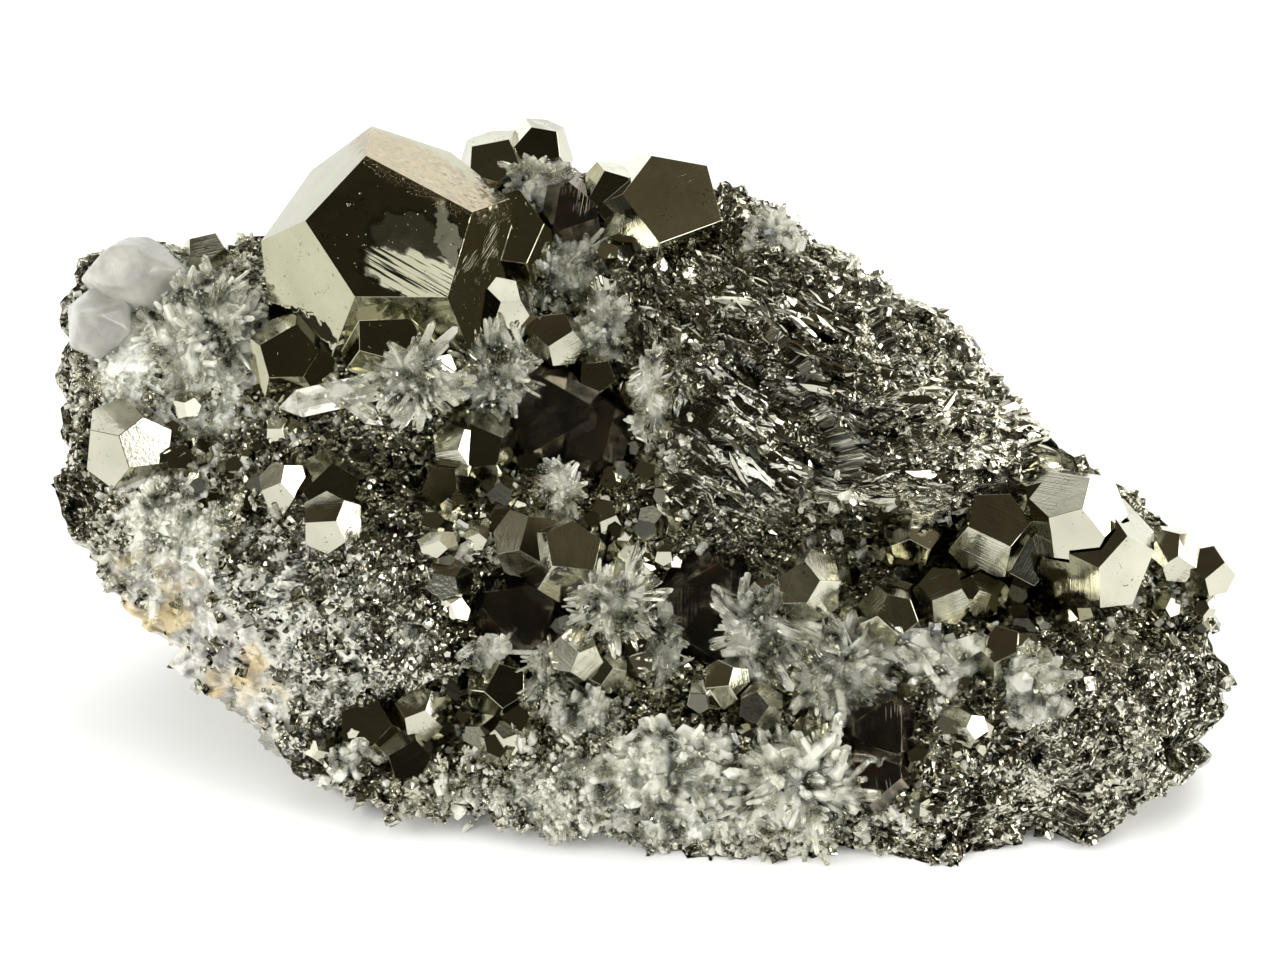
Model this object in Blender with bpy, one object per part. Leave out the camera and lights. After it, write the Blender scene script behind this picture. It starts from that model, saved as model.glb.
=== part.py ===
"""Pyrite with sphalerite and quartz: a hand specimen that rests on its trimmed base.

Lengths are millimetres until a point is placed in the world, and angles are degrees.
Pieces are placed on the picture plane: across runs right and up runs up as the specimen
is looked at from the front, a little from above, and out is the height towards the eye.
"""

from itertools import combinations
from math import cos, radians, sin

import bmesh
import bpy
import numpy as np
from mathutils import Matrix, Vector

MM = 0.001
LOOK_DOWN = 35.0
EYE_DISTANCE = 300.0
MIDDLE_HEIGHT = 25.0
GAP = 0.3

# The rock's outline as seen from the front: across, up.
OUTLINE = [
    (-58.0, 17.0), (-56.4, 22.0), (-51.0, 23.7), (-43.0, 24.3), (-31.0, 25.5), (-17.0, 29.0),
    (-2.0, 30.0), (6.0, 29.6), (12.5, 26.5), (18.0, 23.0), (26.0, 19.2), (32.0, 15.8),
    (34.2, 11.6), (41.6, 3.2), (53.0, -5.5), (58.0, -9.0), (57.6, -16.5), (59.4, -22.9),
    (56.4, -27.8), (50.6, -32.2), (42.6, -35.8), (22.0, -37.0), (12.0, -38.0), (4.0, -37.6),
    (-2.0, -36.0), (-14.0, -34.4), (-24.0, -33.4), (-31.4, -30.6), (-39.2, -23.4),
    (-47.6, -16.2), (-53.6, -9.6), (-56.6, -2.0), (-58.2, 4.0), (-57.8, 10.0),
]
OUTLINE_MIDDLE = (0.0, -2.0)
FACE_OUT = -1.5
FACE_LEAN = 0.25
FACE_BULGE = 4.5

# Mounds and hollows of the front: across, up, half width, half height, turn, rise, steepness.
RELIEF = [
    (19.0, 7.0, 22.0, 11.5, -24.0, 6.0, 2.2),
    (-28.0, -9.5, 15.0, 10.0, -20.0, 4.5, 1.6),
    (-4.5, 9.0, 7.0, 10.0, 0.0, -5.5, 1.4),
    (30.0, -8.0, 16.0, 4.2, -7.0, -7.0, 1.6),
    (-13.0, -13.5, 6.0, 5.5, 0.0, -4.5, 1.4),
    (6.5, -13.0, 6.0, 6.0, 0.0, -4.5, 1.4),
    (5.0, -30.0, 24.0, 6.0, -4.0, 3.5, 1.6),
    (42.0, -23.0, 15.0, 9.0, 10.0, 3.5, 1.8),
    (-24.0, -25.0, 8.0, 3.8, 12.0, -3.5, 1.6),
    (-47.0, 15.0, 10.0, 8.0, 0.0, 2.5, 1.6),
    (-13.0, 22.0, 8.0, 6.0, 0.0, -4.0, 1.6),
    (-47.0, -7.0, 8.0, 6.0, -40.0, 2.0, 1.4),
    (24.0, 19.0, 8.0, 3.0, -20.0, 1.8, 2.0),
    (50.0, -14.5, 5.0, 3.0, -10.0, -2.5, 1.6),
    (-25.0, 11.5, 8.5, 4.0, 0.0, 4.0, 1.6),
]

BACK_TOP_OUT = -7.0
BACK_SLOPE = 0.62
BACK_TOP_UP = 31.0
END_TAPER_START = 26.0
END_TAPER_LENGTH = 36.0
ROUGH_LOW = (-85.0, -60.0, -20.0)
ROUGH_HIGH = (85.0, 60.0, 85.0)
ROUGH_CELL = 8.5
ROUGH_RISE = 1.5
SKIN_CUTS = 9

# A crystal: across and up of its main face, how proud that face stands of the rock, its
# size from centre to face, the face's turn to the right and upwards, and its long edge's roll.
PYRITE = {
    "pyrite_great_crystal": [
        (-23.8, 24.3, 15.6, 10.5, 7.0, 12.7, -28.0),
        (-13.2, 24.8, 8.0, 5.2, 8.0, 15.0, 95.0),
        (-25.0, 14.8, 7.8, 4.2, 4.0, 12.0, 15.0),
        (-34.8, 12.6, 6.0, 3.9, -5.0, 10.0, 30.0),
    ],
    "pyrite_top_pair": [
        (-14.6, 31.8, 3.4, 3.4, -5.0, 12.0, 10.0),
        (-10.0, 32.8, 3.0, 3.1, 5.0, 3.0, 200.0),
    ],
    "pyrite_ridge_group": [
        (3.6, 27.5, 3.2, 6.8, 20.0, 18.0, 206.0),
        (-3.2, 28.3, 3.4, 3.3, -8.0, 5.0, 60.0),
        (0.2, 30.2, 1.0, 3.2, -20.0, 40.0, 30.0),
    ],
    "pyrite_left_top": [(-43.2, 23.4, 2.2, 2.4, 0.0, 34.0, 20.0)],
    "pyrite_left_crystal": [(-53.0, 2.2, 3.4, 4.0, -32.0, -19.0, 66.7)],
    "pyrite_left_mound": [
        (-39.4, -0.5, 1.8, 2.4, 30.0, -20.0, 5.0),
        (-36.0, -1.6, 1.6, 2.2, -20.0, -28.0, 30.0),
        (-30.6, -1.0, 1.9, 3.7, 2.0, 8.0, 45.0),
        (-31.4, -5.4, 1.8, 2.7, -15.0, -24.0, 10.0),
    ],
    "pyrite_right_row": [
        (33.8, -7.2, 7.4, 4.0, -21.0, -26.0, 339.0),
        (38.6, -7.8, 6.6, 3.5, 10.0, -4.0, 75.0),
        (42.8, -5.6, 7.8, 4.1, -12.0, -28.0, 94.0),
        (40.2, -1.6, 3.6, 2.8, 0.0, 14.0, 15.0),
    ],
    "pyrite_right_end": [
        (47.9, -9.2, 6.6, 5.1, 33.0, -22.0, 260.0),
        (53.6, -8.8, 3.6, 2.4, 10.0, -35.0, 316.0),
        (57.6, -9.9, 3.4, 2.4, 28.0, -16.0, 31.0),
    ],
    "pyrite_middle_pair": [
        (-7.3, 13.0, 6.2, 2.6, 28.0, -22.0, 26.6),
        (-4.2, 10.4, 4.2, 2.5, 8.0, 10.0, 10.0),
    ],
    "pyrite_middle_small": [(-12.8, 16.3, 6.4, 2.5, 28.0, -20.0, 151.0)],
    "pyrite_slab": [
        (-15.8, 3.4, 3.8, 3.1, 4.0, 8.0, -24.0),
        (-18.8, 1.9, 3.2, 2.4, -22.0, -30.0, 20.0),
        (-19.9, -0.4, 2.8, 2.6, -10.0, 14.0, 70.0),
    ],
    "pyrite_rounded_pair": [
        (-11.8, -8.5, 5.0, 3.1, -25.0, -45.0, 183.0),
        (-7.1, -10.0, 5.2, 3.7, 12.5, -38.0, 342.0),
    ],
    "pyrite_pentagon": [
        (-5.3, -18.3, 5.0, 2.3, 34.0, -20.0, 218.0),
        (-2.6, -19.9, 3.2, 1.8, 30.0, -26.0, 60.0),
    ],
    "pyrite_low_centre": [
        (8.0, -21.4, 3.4, 2.2, -20.0, -30.0, 20.0),
        (5.8, -22.0, 3.0, 1.6, -25.0, -5.0, 0.0),
    ],
    "pyrite_gold_bar": [(12.8, -23.6, 3.8, 2.0, 30.0, -30.0, 65.0)],
    "pyrite_striated": [(18.4, -11.8, 6.0, 2.9, 32.0, -24.0, 140.0)],
    "pyrite_block": [(26.8, -7.4, 6.0, 2.6, -8.0, -34.0, 180.0)],
    "pyrite_cavity": [
        (30.8, -12.6, 4.4, 2.7, 12.0, -18.0, 20.0),
        (34.0, -12.4, 3.8, 2.2, -4.0, -24.0, 60.0),
    ],
    "pyrite_low_right": [
        (23.9, -15.1, 4.8, 2.7, -25.0, -33.0, 312.0),
        (26.0, -11.4, 3.6, 2.2, 10.0, 20.0, 60.0),
    ],
    "pyrite_gold": [
        (35.6, -16.2, 3.4, 2.6, -12.0, 30.0, 60.0),
        (38.4, -16.6, 3.0, 2.0, 10.0, 22.0, 80.0),
    ],
    "pyrite_low_left": [
        (-27.2, -24.0, 3.0, 3.3, -5.0, 14.0, 18.0),
        (-21.5, -24.4, 3.8, 2.5, 8.0, -34.0, 302.0),
        (-22.9, -27.8, 2.4, 2.7, 4.0, 4.0, 30.0),
    ],
    "pyrite_foot": [(-13.4, -20.4, 3.2, 2.8, 10.0, 5.0, 60.0)],
}
SPHALERITE = {
    "sphalerite_middle": [
        (-9.4, 6.6, 4.6, 4.2, -5.0, 3.0, 30.0),
        (-5.4, 5.2, 4.6, 3.5, -9.0, 20.0, 80.0),
    ],
    "sphalerite_deep": [(6.0, -13.0, 4.4, 4.6, 0.0, 3.0, 90.0)],
    "sphalerite_hollow": [(-11.6, -13.2, 4.4, 4.0, 4.0, 4.0, 70.0)],
    "sphalerite_ridge": [(-6.6, 27.0, 4.0, 2.6, 4.0, 6.0, 20.0)],
    "sphalerite_low_right": [
        (23.9, -24.6, 2.6, 2.8, 0.0, 4.0, 90.0),
        (23.2, -29.4, 2.2, 2.6, -4.0, 6.0, 40.0),
    ],
}

# A quartz group: across, up, half width, half height, height above the rock, then its
# prisms: how many, their length, their thickness across and the seed of their spread.
QUARTZ = {
    "quartz_left_mass": (-44.0, 14.4, 6.6, 7.0, 2.4, 6, 3.4, 1.4, 11),
    "quartz_left_block": (-50.8, 20.4, 6.2, 3.4, 3.0, 0, 3.4, 2.4, 12),
    "quartz_left_ball": (-54.4, 15.6, 3.6, 3.5, 3.4, 0, 2.6, 1.9, 13),
    "quartz_left_crust": (-47.2, -4.0, 3.6, 4.6, 1.4, 2, 2.4, 1.4, 14),
    "quartz_star": (-22.4, 10.2, 3.0, 3.0, 5.6, 8, 4.2, 1.2, 15),
    "quartz_star_right": (-14.2, 10.6, 4.0, 4.2, 4.0, 4, 3.4, 1.3, 16),
    "quartz_back_mass": (-8.0, 21.0, 7.2, 4.6, 3.8, 5, 3.4, 1.3, 17),
    "quartz_column": (-3.6, 15.4, 2.2, 4.4, 3.2, 1, 3.0, 1.2, 18),
    "quartz_top": (-9.6, 30.0, 4.0, 2.4, 3.4, 2, 2.8, 1.5, 19),
    "quartz_ridge_end": (13.4, 23.4, 4.0, 3.4, 2.0, 2, 2.8, 1.8, 20),
    "quartz_ledge": (1.0, 8.6, 1.6, 4.6, 3.2, 1, 2.6, 1.2, 21),
    "quartz_spray": (-2.6, -12.4, 3.2, 3.0, 5.6, 8, 4.2, 1.3, 22),
    "quartz_spray_tail": (2.2, -16.4, 1.9, 4.2, 2.8, 2, 3.4, 1.2, 23),
    "quartz_low_twins": (-14.8, -16.8, 2.2, 1.5, 5.0, 2, 2.6, 1.4, 24),
    "quartz_low_burst": (-9.2, -19.6, 1.9, 3.6, 2.8, 3, 3.6, 1.2, 25),
    "quartz_low_mass": (-5.4, -23.6, 3.8, 2.4, 2.0, 2, 2.6, 1.5, 26),
    "quartz_deep": (11.6, -15.4, 3.4, 4.4, 4.2, 4, 3.6, 1.3, 27),
    "quartz_great_burst": (20.0, -19.0, 4.4, 4.4, 3.8, 7, 4.4, 1.4, 28),
    "quartz_prisms": (29.6, -18.0, 3.6, 2.6, 3.4, 4, 5.0, 2.4, 29),
    "quartz_blob": (39.0, -21.0, 3.4, 4.2, 2.2, 2, 3.4, 2.4, 30),
    "quartz_foot": (3.0, -29.0, 8.6, 4.4, 2.0, 3, 3.2, 2.2, 31),
    "quartz_foot_right": (15.6, -30.2, 6.0, 4.6, 2.2, 5, 3.6, 1.5, 32),
    "quartz_corner": (-28.6, -28.0, 2.8, 1.8, 1.6, 1, 2.4, 1.6, 33),
    "quartz_small": (-8.0, -0.6, 1.8, 2.6, 3.6, 2, 2.8, 1.2, 34),
}
LUMP_DEPTH = 0.62
NEEDLE_TIP = 1.5
NEEDLE_LEAN_MOST = 66.0

# The prisms that stand out one by one: from, to (across, up, height above the rock), thickness.
LONG_PRISMS = {
    "quartz_long_prism": [
        ((-25.4, 9.6, 3.4), (-36.2, 7.2, 5.4), 3.2),
        ((-31.4, 10.0, 3.2), (-25.6, 5.4, 4.2), 2.0),
    ],
}

PYRITE_NORMALS = np.array(
    [(0, 2 * i, j) for i in (1, -1) for j in (1, -1)]
    + [(j, 0, 2 * i) for i in (1, -1) for j in (1, -1)]
    + [(2 * i, j, 0) for i in (1, -1) for j in (1, -1)],
    float,
)
CUBE_NORMALS = np.array([(1, 0, 0), (-1, 0, 0), (0, 1, 0), (0, -1, 0), (0, 0, 1), (0, 0, -1)], float)
CORNER_NORMALS = np.array([(i, j, k) for i in (1, -1) for j in (1, -1) for k in (1, -1)], float)
CORNER_SIDES = np.prod(CORNER_NORMALS, axis=1)
SPHALERITE_CUBE_AT = 1.12
SPHALERITE_MINOR_AT = 1.3
FACE_VARIATION = 0.03
UNVARIED_SIZE = 10.0

COLOURS = {
    "pyrite": ((0.56, 0.51, 0.37, 1.0), 1.0, 0.22),
    "sphalerite": ((0.025, 0.02, 0.018, 1.0), 0.3, 0.15),
    "quartz": ((0.82, 0.84, 0.83, 1.0), 0.0, 0.15),
    "matrix": ((0.36, 0.33, 0.25, 1.0), 0.8, 0.4),
}


def clear_scene():
    for item in list(bpy.data.objects):
        bpy.data.objects.remove(item)


def new_collection(name):
    found = bpy.data.collections.new(name)
    bpy.context.scene.collection.children.link(found)
    return found


def plain_material(name):
    colour, metallic, roughness = COLOURS[name]
    material = bpy.data.materials.new(name)
    material.use_nodes = True
    shader = material.node_tree.nodes["Principled BSDF"]
    shader.inputs["Base Color"].default_value = colour
    shader.inputs["Metallic"].default_value = metallic
    shader.inputs["Roughness"].default_value = roughness
    return material


def world_points(across, up, out):
    """Points seen at (across, up) on the picture plane, standing out from it, in metres."""
    nearer = 1 - np.asarray(out, float) / EYE_DISTANCE
    right, rise = np.asarray(across) * nearer, np.asarray(up) * nearer
    c, s = cos(radians(LOOK_DOWN)), sin(radians(LOOK_DOWN))
    return MM * np.stack([right, rise * s - out * c, rise * c + out * s + MIDDLE_HEIGHT], axis=-1)


def world_direction(direction):
    """A direction given as across, up and out, turned to the world."""
    right, rise, out = direction
    c, s = cos(radians(LOOK_DOWN)), sin(radians(LOOK_DOWN))
    return np.array([right, rise * s - out * c, rise * c + out * s])


def rim_reach(angle):
    """The distance from the outline's middle to the outline at each angle."""
    points = np.array(OUTLINE) - OUTLINE_MIDDLE
    turns = np.arctan2(points[:, 1], points[:, 0])
    order = np.argsort(turns)
    return np.interp(angle, turns[order], np.hypot(*points[order].T), period=2 * np.pi)


def relief(across, up):
    """How far out the rock's front stands: a leaning, bulging face with mounds and hollows."""
    across, up = np.asarray(across, float), np.asarray(up, float)
    dx, dy = across - OUTLINE_MIDDLE[0], up - OUTLINE_MIDDLE[1]
    share = np.hypot(dx, dy) / rim_reach(np.arctan2(dy, dx))
    out = FACE_OUT - FACE_LEAN * up + FACE_BULGE * (1 - share**2)
    for x, y, wide, high, turn, rise, steepness in RELIEF:
        c, s = cos(radians(turn)), sin(radians(turn))
        along = ((across - x) * c + (up - y) * s) / wide
        aside = ((up - y) * c - (across - x) * s) / high
        out = out + rise * np.exp(-((along**2 + aside**2) ** steepness))
    return out


def broken_planes(points, cell, seed):
    """Heights between about -1.6 and 1.6: space is cut into cells around jittered points, and in
    each cell the height is a plane with a tilt of its own."""
    rng = np.random.default_rng(seed)
    low = np.array(ROUGH_LOW)
    counts = np.ceil((np.array(ROUGH_HIGH) - low) / cell).astype(int)
    jitter = rng.random((*counts, 3))
    slopes = rng.uniform(-1, 1, (*counts, 3))
    heights = rng.uniform(-1, 1, counts)
    spots = (points - low) / cell
    base = np.floor(spots).astype(int)
    nearest = np.full(len(spots), np.inf)
    made = np.zeros(len(spots))
    for step in np.ndindex(3, 3, 3):
        index = base + np.array(step) - 1
        wrapped = tuple((index % counts).T)
        apart = spots - index - jitter[wrapped]
        distance = (apart**2).sum(1)
        closer = distance < nearest
        height = 0.6 * heights[wrapped] + (apart * slopes[wrapped]).sum(1)
        made = np.where(closer, height, made)
        nearest = np.where(closer, distance, nearest)
    return made


def skin_point(direction):
    """Where a direction of the ball lands on the rock, as across, up and out: the near half on
    the front, the far half over the rim and down to the back wall."""
    toward = direction[2]
    angle = np.arctan2(direction[1], direction[0])
    share = np.sqrt(max(0.0, 1 - abs(toward)))
    reach = rim_reach(angle)
    middle = np.array(OUTLINE_MIDDLE)
    across, up = middle + share * reach * np.array([np.cos(angle), np.sin(angle)])
    if toward >= 0:
        return across, up, float(relief(across, up))
    rim_out = float(relief(*(middle + 0.999 * reach * np.array([np.cos(angle), np.sin(angle)]))))
    past = np.clip((abs(across) - END_TAPER_START) / END_TAPER_LENGTH, 0, 1)
    wall = BACK_TOP_OUT - BACK_SLOPE * (BACK_TOP_UP - up) * (1 - past**1.5)
    depth = (1 - share**3) ** 0.55
    return across, up, rim_out + depth * (min(wall, rim_out) - rim_out)


def build_matrix(collection):
    """The rock: a ball of even facets, each corner moved onto the rock's skin and roughened."""
    mesh = bmesh.new()
    bmesh.ops.create_cube(mesh, size=2.0)
    bmesh.ops.subdivide_edges(mesh, edges=mesh.edges, cuts=SKIN_CUTS, use_grid_fill=True)
    seen = np.array([skin_point(np.array(v.co.normalized())) for v in mesh.verts])
    places = world_points(*seen.T) / MM
    bumps = ROUGH_RISE * broken_planes(places, ROUGH_CELL, seed=5)
    outward = places - places.mean(0)
    outward /= np.linalg.norm(outward, axis=1)[:, None]
    places = (places + outward * bumps[:, None]) * MM
    for vertex, place in zip(mesh.verts, places):
        vertex.co = place
    bmesh.ops.triangulate(mesh, faces=mesh.faces)
    bmesh.ops.recalc_face_normals(mesh, faces=mesh.faces)
    return object_from(mesh, "matrix", collection)


def object_from(mesh, name, collection):
    data = bpy.data.meshes.new(name)
    mesh.to_mesh(data)
    mesh.free()
    found = bpy.data.objects.new(name, data)
    collection.objects.link(found)
    return found


def crystal_corners(normals, distances):
    """A corner is where three face planes meet, kept where it lies inside all the others."""
    triples = np.array(list(combinations(range(len(normals)), 3)))
    planes, reach = normals[triples], distances[triples]
    meeting = np.abs(np.linalg.det(planes)) > 1e-6
    corners = np.linalg.solve(planes[meeting], reach[meeting][..., None])[..., 0]
    inside = (corners @ normals.T <= distances + 1e-6).all(1)
    return np.unique(np.round(corners[inside], 5), axis=0)


def crystal_faces(kind, size, seed):
    """Face normals of one crystal and their distances from its centre."""
    rng = np.random.default_rng(seed)
    if kind == "pyrite":
        normals, distances = PYRITE_NORMALS, np.ones(12)
    else:
        normals = np.concatenate([CORNER_NORMALS, CUBE_NORMALS])
        minor = np.where(CORNER_SIDES > 0, 1.0, SPHALERITE_MINOR_AT)
        distances = np.concatenate([minor, np.full(6, SPHALERITE_CUBE_AT)])
    normals = normals / np.linalg.norm(normals, axis=1)[:, None]
    varied = FACE_VARIATION if size < UNVARIED_SIZE else 0.0
    return normals, size * distances * rng.uniform(1 - varied, 1 + varied, len(normals))


def facing(right, upward):
    """The direction turned to the right and upwards from straight out."""
    r, u = radians(right), radians(upward)
    return np.array([sin(r) * cos(u), sin(u), cos(r) * cos(u)])


def crystal_turn(kind, right, upward, roll):
    """The rotation that points the main face the given way with its long edge at the roll."""
    if kind == "pyrite":
        normal, edge = np.array([2.0, 1.0, 0.0]), np.array([0.0, 0.0, 1.0])
    else:
        normal, edge = np.array([1.0, 1.0, 1.0]), np.array([1.0, -1.0, 0.0])
    normal, edge = normal / np.linalg.norm(normal), edge / np.linalg.norm(edge)
    aim = facing(right, upward)
    along = np.array([cos(radians(roll)), sin(radians(roll)), 0.0])
    along = along - (along @ aim) * aim
    along /= np.linalg.norm(along)
    own = np.stack([normal, np.cross(edge, normal), edge], 1)
    wanted = np.stack([aim, np.cross(along, aim), along], 1)
    return wanted @ own.T


def crystal_piece(kind, entry, seed, grow, collection):
    """One crystal as the hull of its corners, its faces moved out by grow."""
    across, up, proud, size, right, upward, roll = entry
    normals, distances = crystal_faces(kind, size, seed)
    corners = crystal_corners(normals, distances + grow)
    turned = corners @ crystal_turn(kind, right, upward, roll).T
    centre_out = float(relief(across, up)) + proud - size * facing(right, upward)[2]
    centre = np.array([across, up]) - size * facing(right, upward)[:2]
    middle = world_points(*centre, centre_out)
    mesh = bmesh.new()
    for corner in turned:
        mesh.verts.new(middle + world_direction(corner) * MM)
    made = bmesh.ops.convex_hull(mesh, input=mesh.verts)
    spare = [g for g in made["geom_interior"] if isinstance(g, bmesh.types.BMVert)]
    bmesh.ops.delete(mesh, geom=spare, context="VERTS")
    bmesh.ops.dissolve_limit(mesh, angle_limit=radians(0.5), verts=mesh.verts, edges=mesh.edges)
    bmesh.ops.recalc_face_normals(mesh, faces=mesh.faces)
    return object_from(mesh, "crystal", collection)


def needle_piece(foot, tip, thickness, grow, collection):
    """A six-sided prism with a pointed end, from foot to tip in metres."""
    foot, tip = Vector(foot), Vector(tip)
    axis = tip - foot
    radius = (thickness / 2 + grow) * MM
    point = thickness * NEEDLE_TIP / 2 * MM
    body = axis.length - point + 2 * grow * MM
    mesh = bmesh.new()
    bmesh.ops.create_cone(mesh, cap_ends=True, segments=6, radius1=radius, radius2=radius, depth=body)
    top = max(mesh.faces, key=lambda f: f.calc_center_median().z)
    bmesh.ops.poke(mesh, faces=[top], offset=point)
    place = foot + axis.normalized() * (body / 2 - grow * MM)
    turn = axis.to_track_quat("Z", "Y").to_matrix().to_4x4()
    bmesh.ops.transform(mesh, matrix=Matrix.Translation(place) @ turn, verts=mesh.verts)
    return object_from(mesh, "needle", collection)


def lump_piece(entry, grow, collection):
    """The low mound that a quartz group grows from: a ball flattened against the rock."""
    across, up, wide, high, proud = entry[:5]
    deep = LUMP_DEPTH * min(wide, high)
    mesh = bmesh.new()
    bmesh.ops.create_icosphere(mesh, subdivisions=2 if min(wide, high) > 5.0 else 1, radius=1.0)
    middle_out = float(relief(across, up)) + proud - deep
    spots = np.array([v.co for v in mesh.verts])
    spots *= [wide + grow, high + grow, deep + grow]
    ripple = 1 + 0.08 * np.sin(1.7 * spots[:, 0] + entry[8]) * np.cos(1.9 * spots[:, 1])
    seen = spots * ripple[:, None]
    places = world_points(across, up, middle_out) + MM * np.array([world_direction(p) for p in seen])
    for vertex, place in zip(mesh.verts, places):
        vertex.co = place
    return object_from(mesh, "lump", collection)


def group_needles(entry):
    """Feet and tips of a quartz group's prisms, fanned out over its mound, in metres."""
    across, up, wide, high, proud, count, length, thickness, seed = entry
    rng = np.random.default_rng(seed)
    deep = LUMP_DEPTH * min(wide, high)
    middle_out = float(relief(across, up)) + proud - deep
    middle = world_points(across, up, middle_out)
    spread = np.sqrt((np.arange(count) + 0.5) / count) * NEEDLE_LEAN_MOST
    turns = np.arange(count) * 137.5 + rng.uniform(0, 360)
    made = []
    for lean, turn in zip(np.radians(spread), np.radians(turns)):
        aim = np.array([np.sin(lean) * np.cos(turn), np.sin(lean) * np.sin(turn), np.cos(lean)])
        own = aim * [wide, high, deep]
        foot = 0.55 * own
        tip = own + aim * length * rng.uniform(0.75, 1.15)
        made.append((middle + MM * world_direction(foot), middle + MM * world_direction(tip), thickness))
    return made


def long_prisms(entries):
    """Feet and tips of the prisms that are placed one by one, in metres."""
    made = []
    for foot, tip, thickness in entries:
        ends = [world_points(x, y, float(relief(x, y)) + out) for x, y, out in (foot, tip)]
        made.append((*ends, thickness))
    return made


def node_pieces(name, grow, collection):
    """The convex pieces that one node is joined from, each grown outwards by grow."""
    seed = sum(ord(letter) for letter in name)
    if name in PYRITE or name in SPHALERITE:
        kind = "pyrite" if name in PYRITE else "sphalerite"
        entries = {**PYRITE, **SPHALERITE}[name]
        return [crystal_piece(kind, e, seed + k, grow, collection) for k, e in enumerate(entries)]
    if name in LONG_PRISMS:
        return [needle_piece(*n, grow, collection) for n in long_prisms(LONG_PRISMS[name])]
    entry = QUARTZ[name]
    needles = [needle_piece(*n, grow, collection) for n in group_needles(entry)]
    return [lump_piece(entry, grow, collection), *needles]


def combine(target, others, operation):
    """Joins others to target, or cuts them from it, and removes them."""
    if not others:
        return
    tools = bpy.data.collections.new("tools")
    for other in others:
        tools.objects.link(other)
    step = target.modifiers.new("combine", "BOOLEAN")
    step.operation = operation
    step.operand_type = "COLLECTION"
    step.collection = tools
    bpy.context.view_layer.update()
    graph = bpy.context.evaluated_depsgraph_get()
    made = bpy.data.meshes.new_from_object(target.evaluated_get(graph))
    target.modifiers.remove(step)
    target.data = made
    bpy.data.collections.remove(tools)
    for other in others:
        bpy.data.objects.remove(other)


def bodies_of(mesh):
    """The mesh's separate bodies, as lists of faces that meet along edges."""
    left, found = set(mesh.faces), []
    while left:
        front = [left.pop()]
        body = list(front)
        while front:
            shared = {e for f in front for e in f.edges if len(e.link_faces) == 2}
            near = {f for e in shared for f in e.link_faces} & left
            left -= near
            front = list(near)
            body += front
        found.append(body)
    return sorted(found, key=len)


def keep_largest(target):
    """Drops the crumbs that a cut leaves, and keeps the largest body."""
    mesh = bmesh.new()
    mesh.from_mesh(target.data)
    bmesh.ops.remove_doubles(mesh, verts=mesh.verts, dist=2e-6)
    bmesh.ops.dissolve_degenerate(mesh, edges=mesh.edges, dist=1e-6)
    spare = [f for body in bodies_of(mesh)[:-1] for f in body]
    bmesh.ops.delete(mesh, geom=spare, context="FACES")
    bmesh.ops.dissolve_limit(mesh, angle_limit=radians(0.2), verts=mesh.verts, edges=mesh.edges)
    bmesh.ops.triangulate(mesh, faces=mesh.faces)
    mesh.to_mesh(target.data)
    mesh.free()


def extent(target):
    corners = np.array([target.matrix_world @ v.co for v in target.data.vertices])
    return corners.min(0), corners.max(0)


def touching(first, second):
    (low_a, high_a), (low_b, high_b) = first, second
    return bool((low_a <= high_b).all() and (low_b <= high_a).all())


def near_pieces(target, boxes, collection):
    """The grown pieces of the nodes already made that reach the target's box."""
    bounds, kept = extent(target), []
    for name, box in boxes.items():
        if not touching(box, bounds):
            continue
        for piece in node_pieces(name, GAP, collection):
            if touching(extent(piece), bounds):
                kept.append(piece)
            else:
                bpy.data.objects.remove(piece)
    return kept


def trim_base(target, collection):
    """Cuts off flat whatever reaches below the plane that the rock rests on."""
    mesh = bmesh.new()
    size = Vector((0.4, 0.4, 0.1))
    bmesh.ops.create_cube(mesh, size=1.0, matrix=Matrix.Diagonal(size).to_4x4())
    bmesh.ops.translate(mesh, vec=(0, 0, -size.z / 2), verts=mesh.verts)
    combine(target, [object_from(mesh, "floor_cut", collection)], "DIFFERENCE")


def finish(node, material):
    keep_largest(node)
    node.data.materials.clear()
    node.data.materials.append(material)


def main():
    clear_scene()
    specimen = new_collection("pyrite_with_sphalerite_and_quartz")
    tools = new_collection("cutters")
    tools.hide_render = True
    finishes = {name: plain_material(name) for name in COLOURS}
    boxes = {}
    for name in [*PYRITE, *SPHALERITE, *LONG_PRISMS, *QUARTZ]:
        pieces = node_pieces(name, 0.0, tools)
        node = pieces[0]
        tools.objects.unlink(node)
        specimen.objects.link(node)
        node.name = node.data.name = name
        combine(node, pieces[1:], "UNION")
        low, high = extent(node)
        combine(node, near_pieces(node, boxes, tools), "DIFFERENCE")
        boxes[name] = low - GAP * MM, high + GAP * MM
        if low[2] < 0:
            trim_base(node, tools)
        finish(node, finishes[name.split("_")[0]])
    rock = build_matrix(specimen)
    combine(rock, near_pieces(rock, boxes, tools), "DIFFERENCE")
    trim_base(rock, tools)
    finish(rock, finishes["matrix"])


main()
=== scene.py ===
"""Pyrite with sphalerite and quartz, dressed for its picture.

Lengths are millimetres until a point is placed in the world, and angles are degrees.
Pieces are placed on the picture plane: across runs right and up runs up as the specimen
is looked at from the front, a little from above, and out is the height towards the eye.
"""

import bmesh
import bpy
import numpy as np
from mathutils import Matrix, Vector
from mathutils.bvhtree import BVHTree


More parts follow.
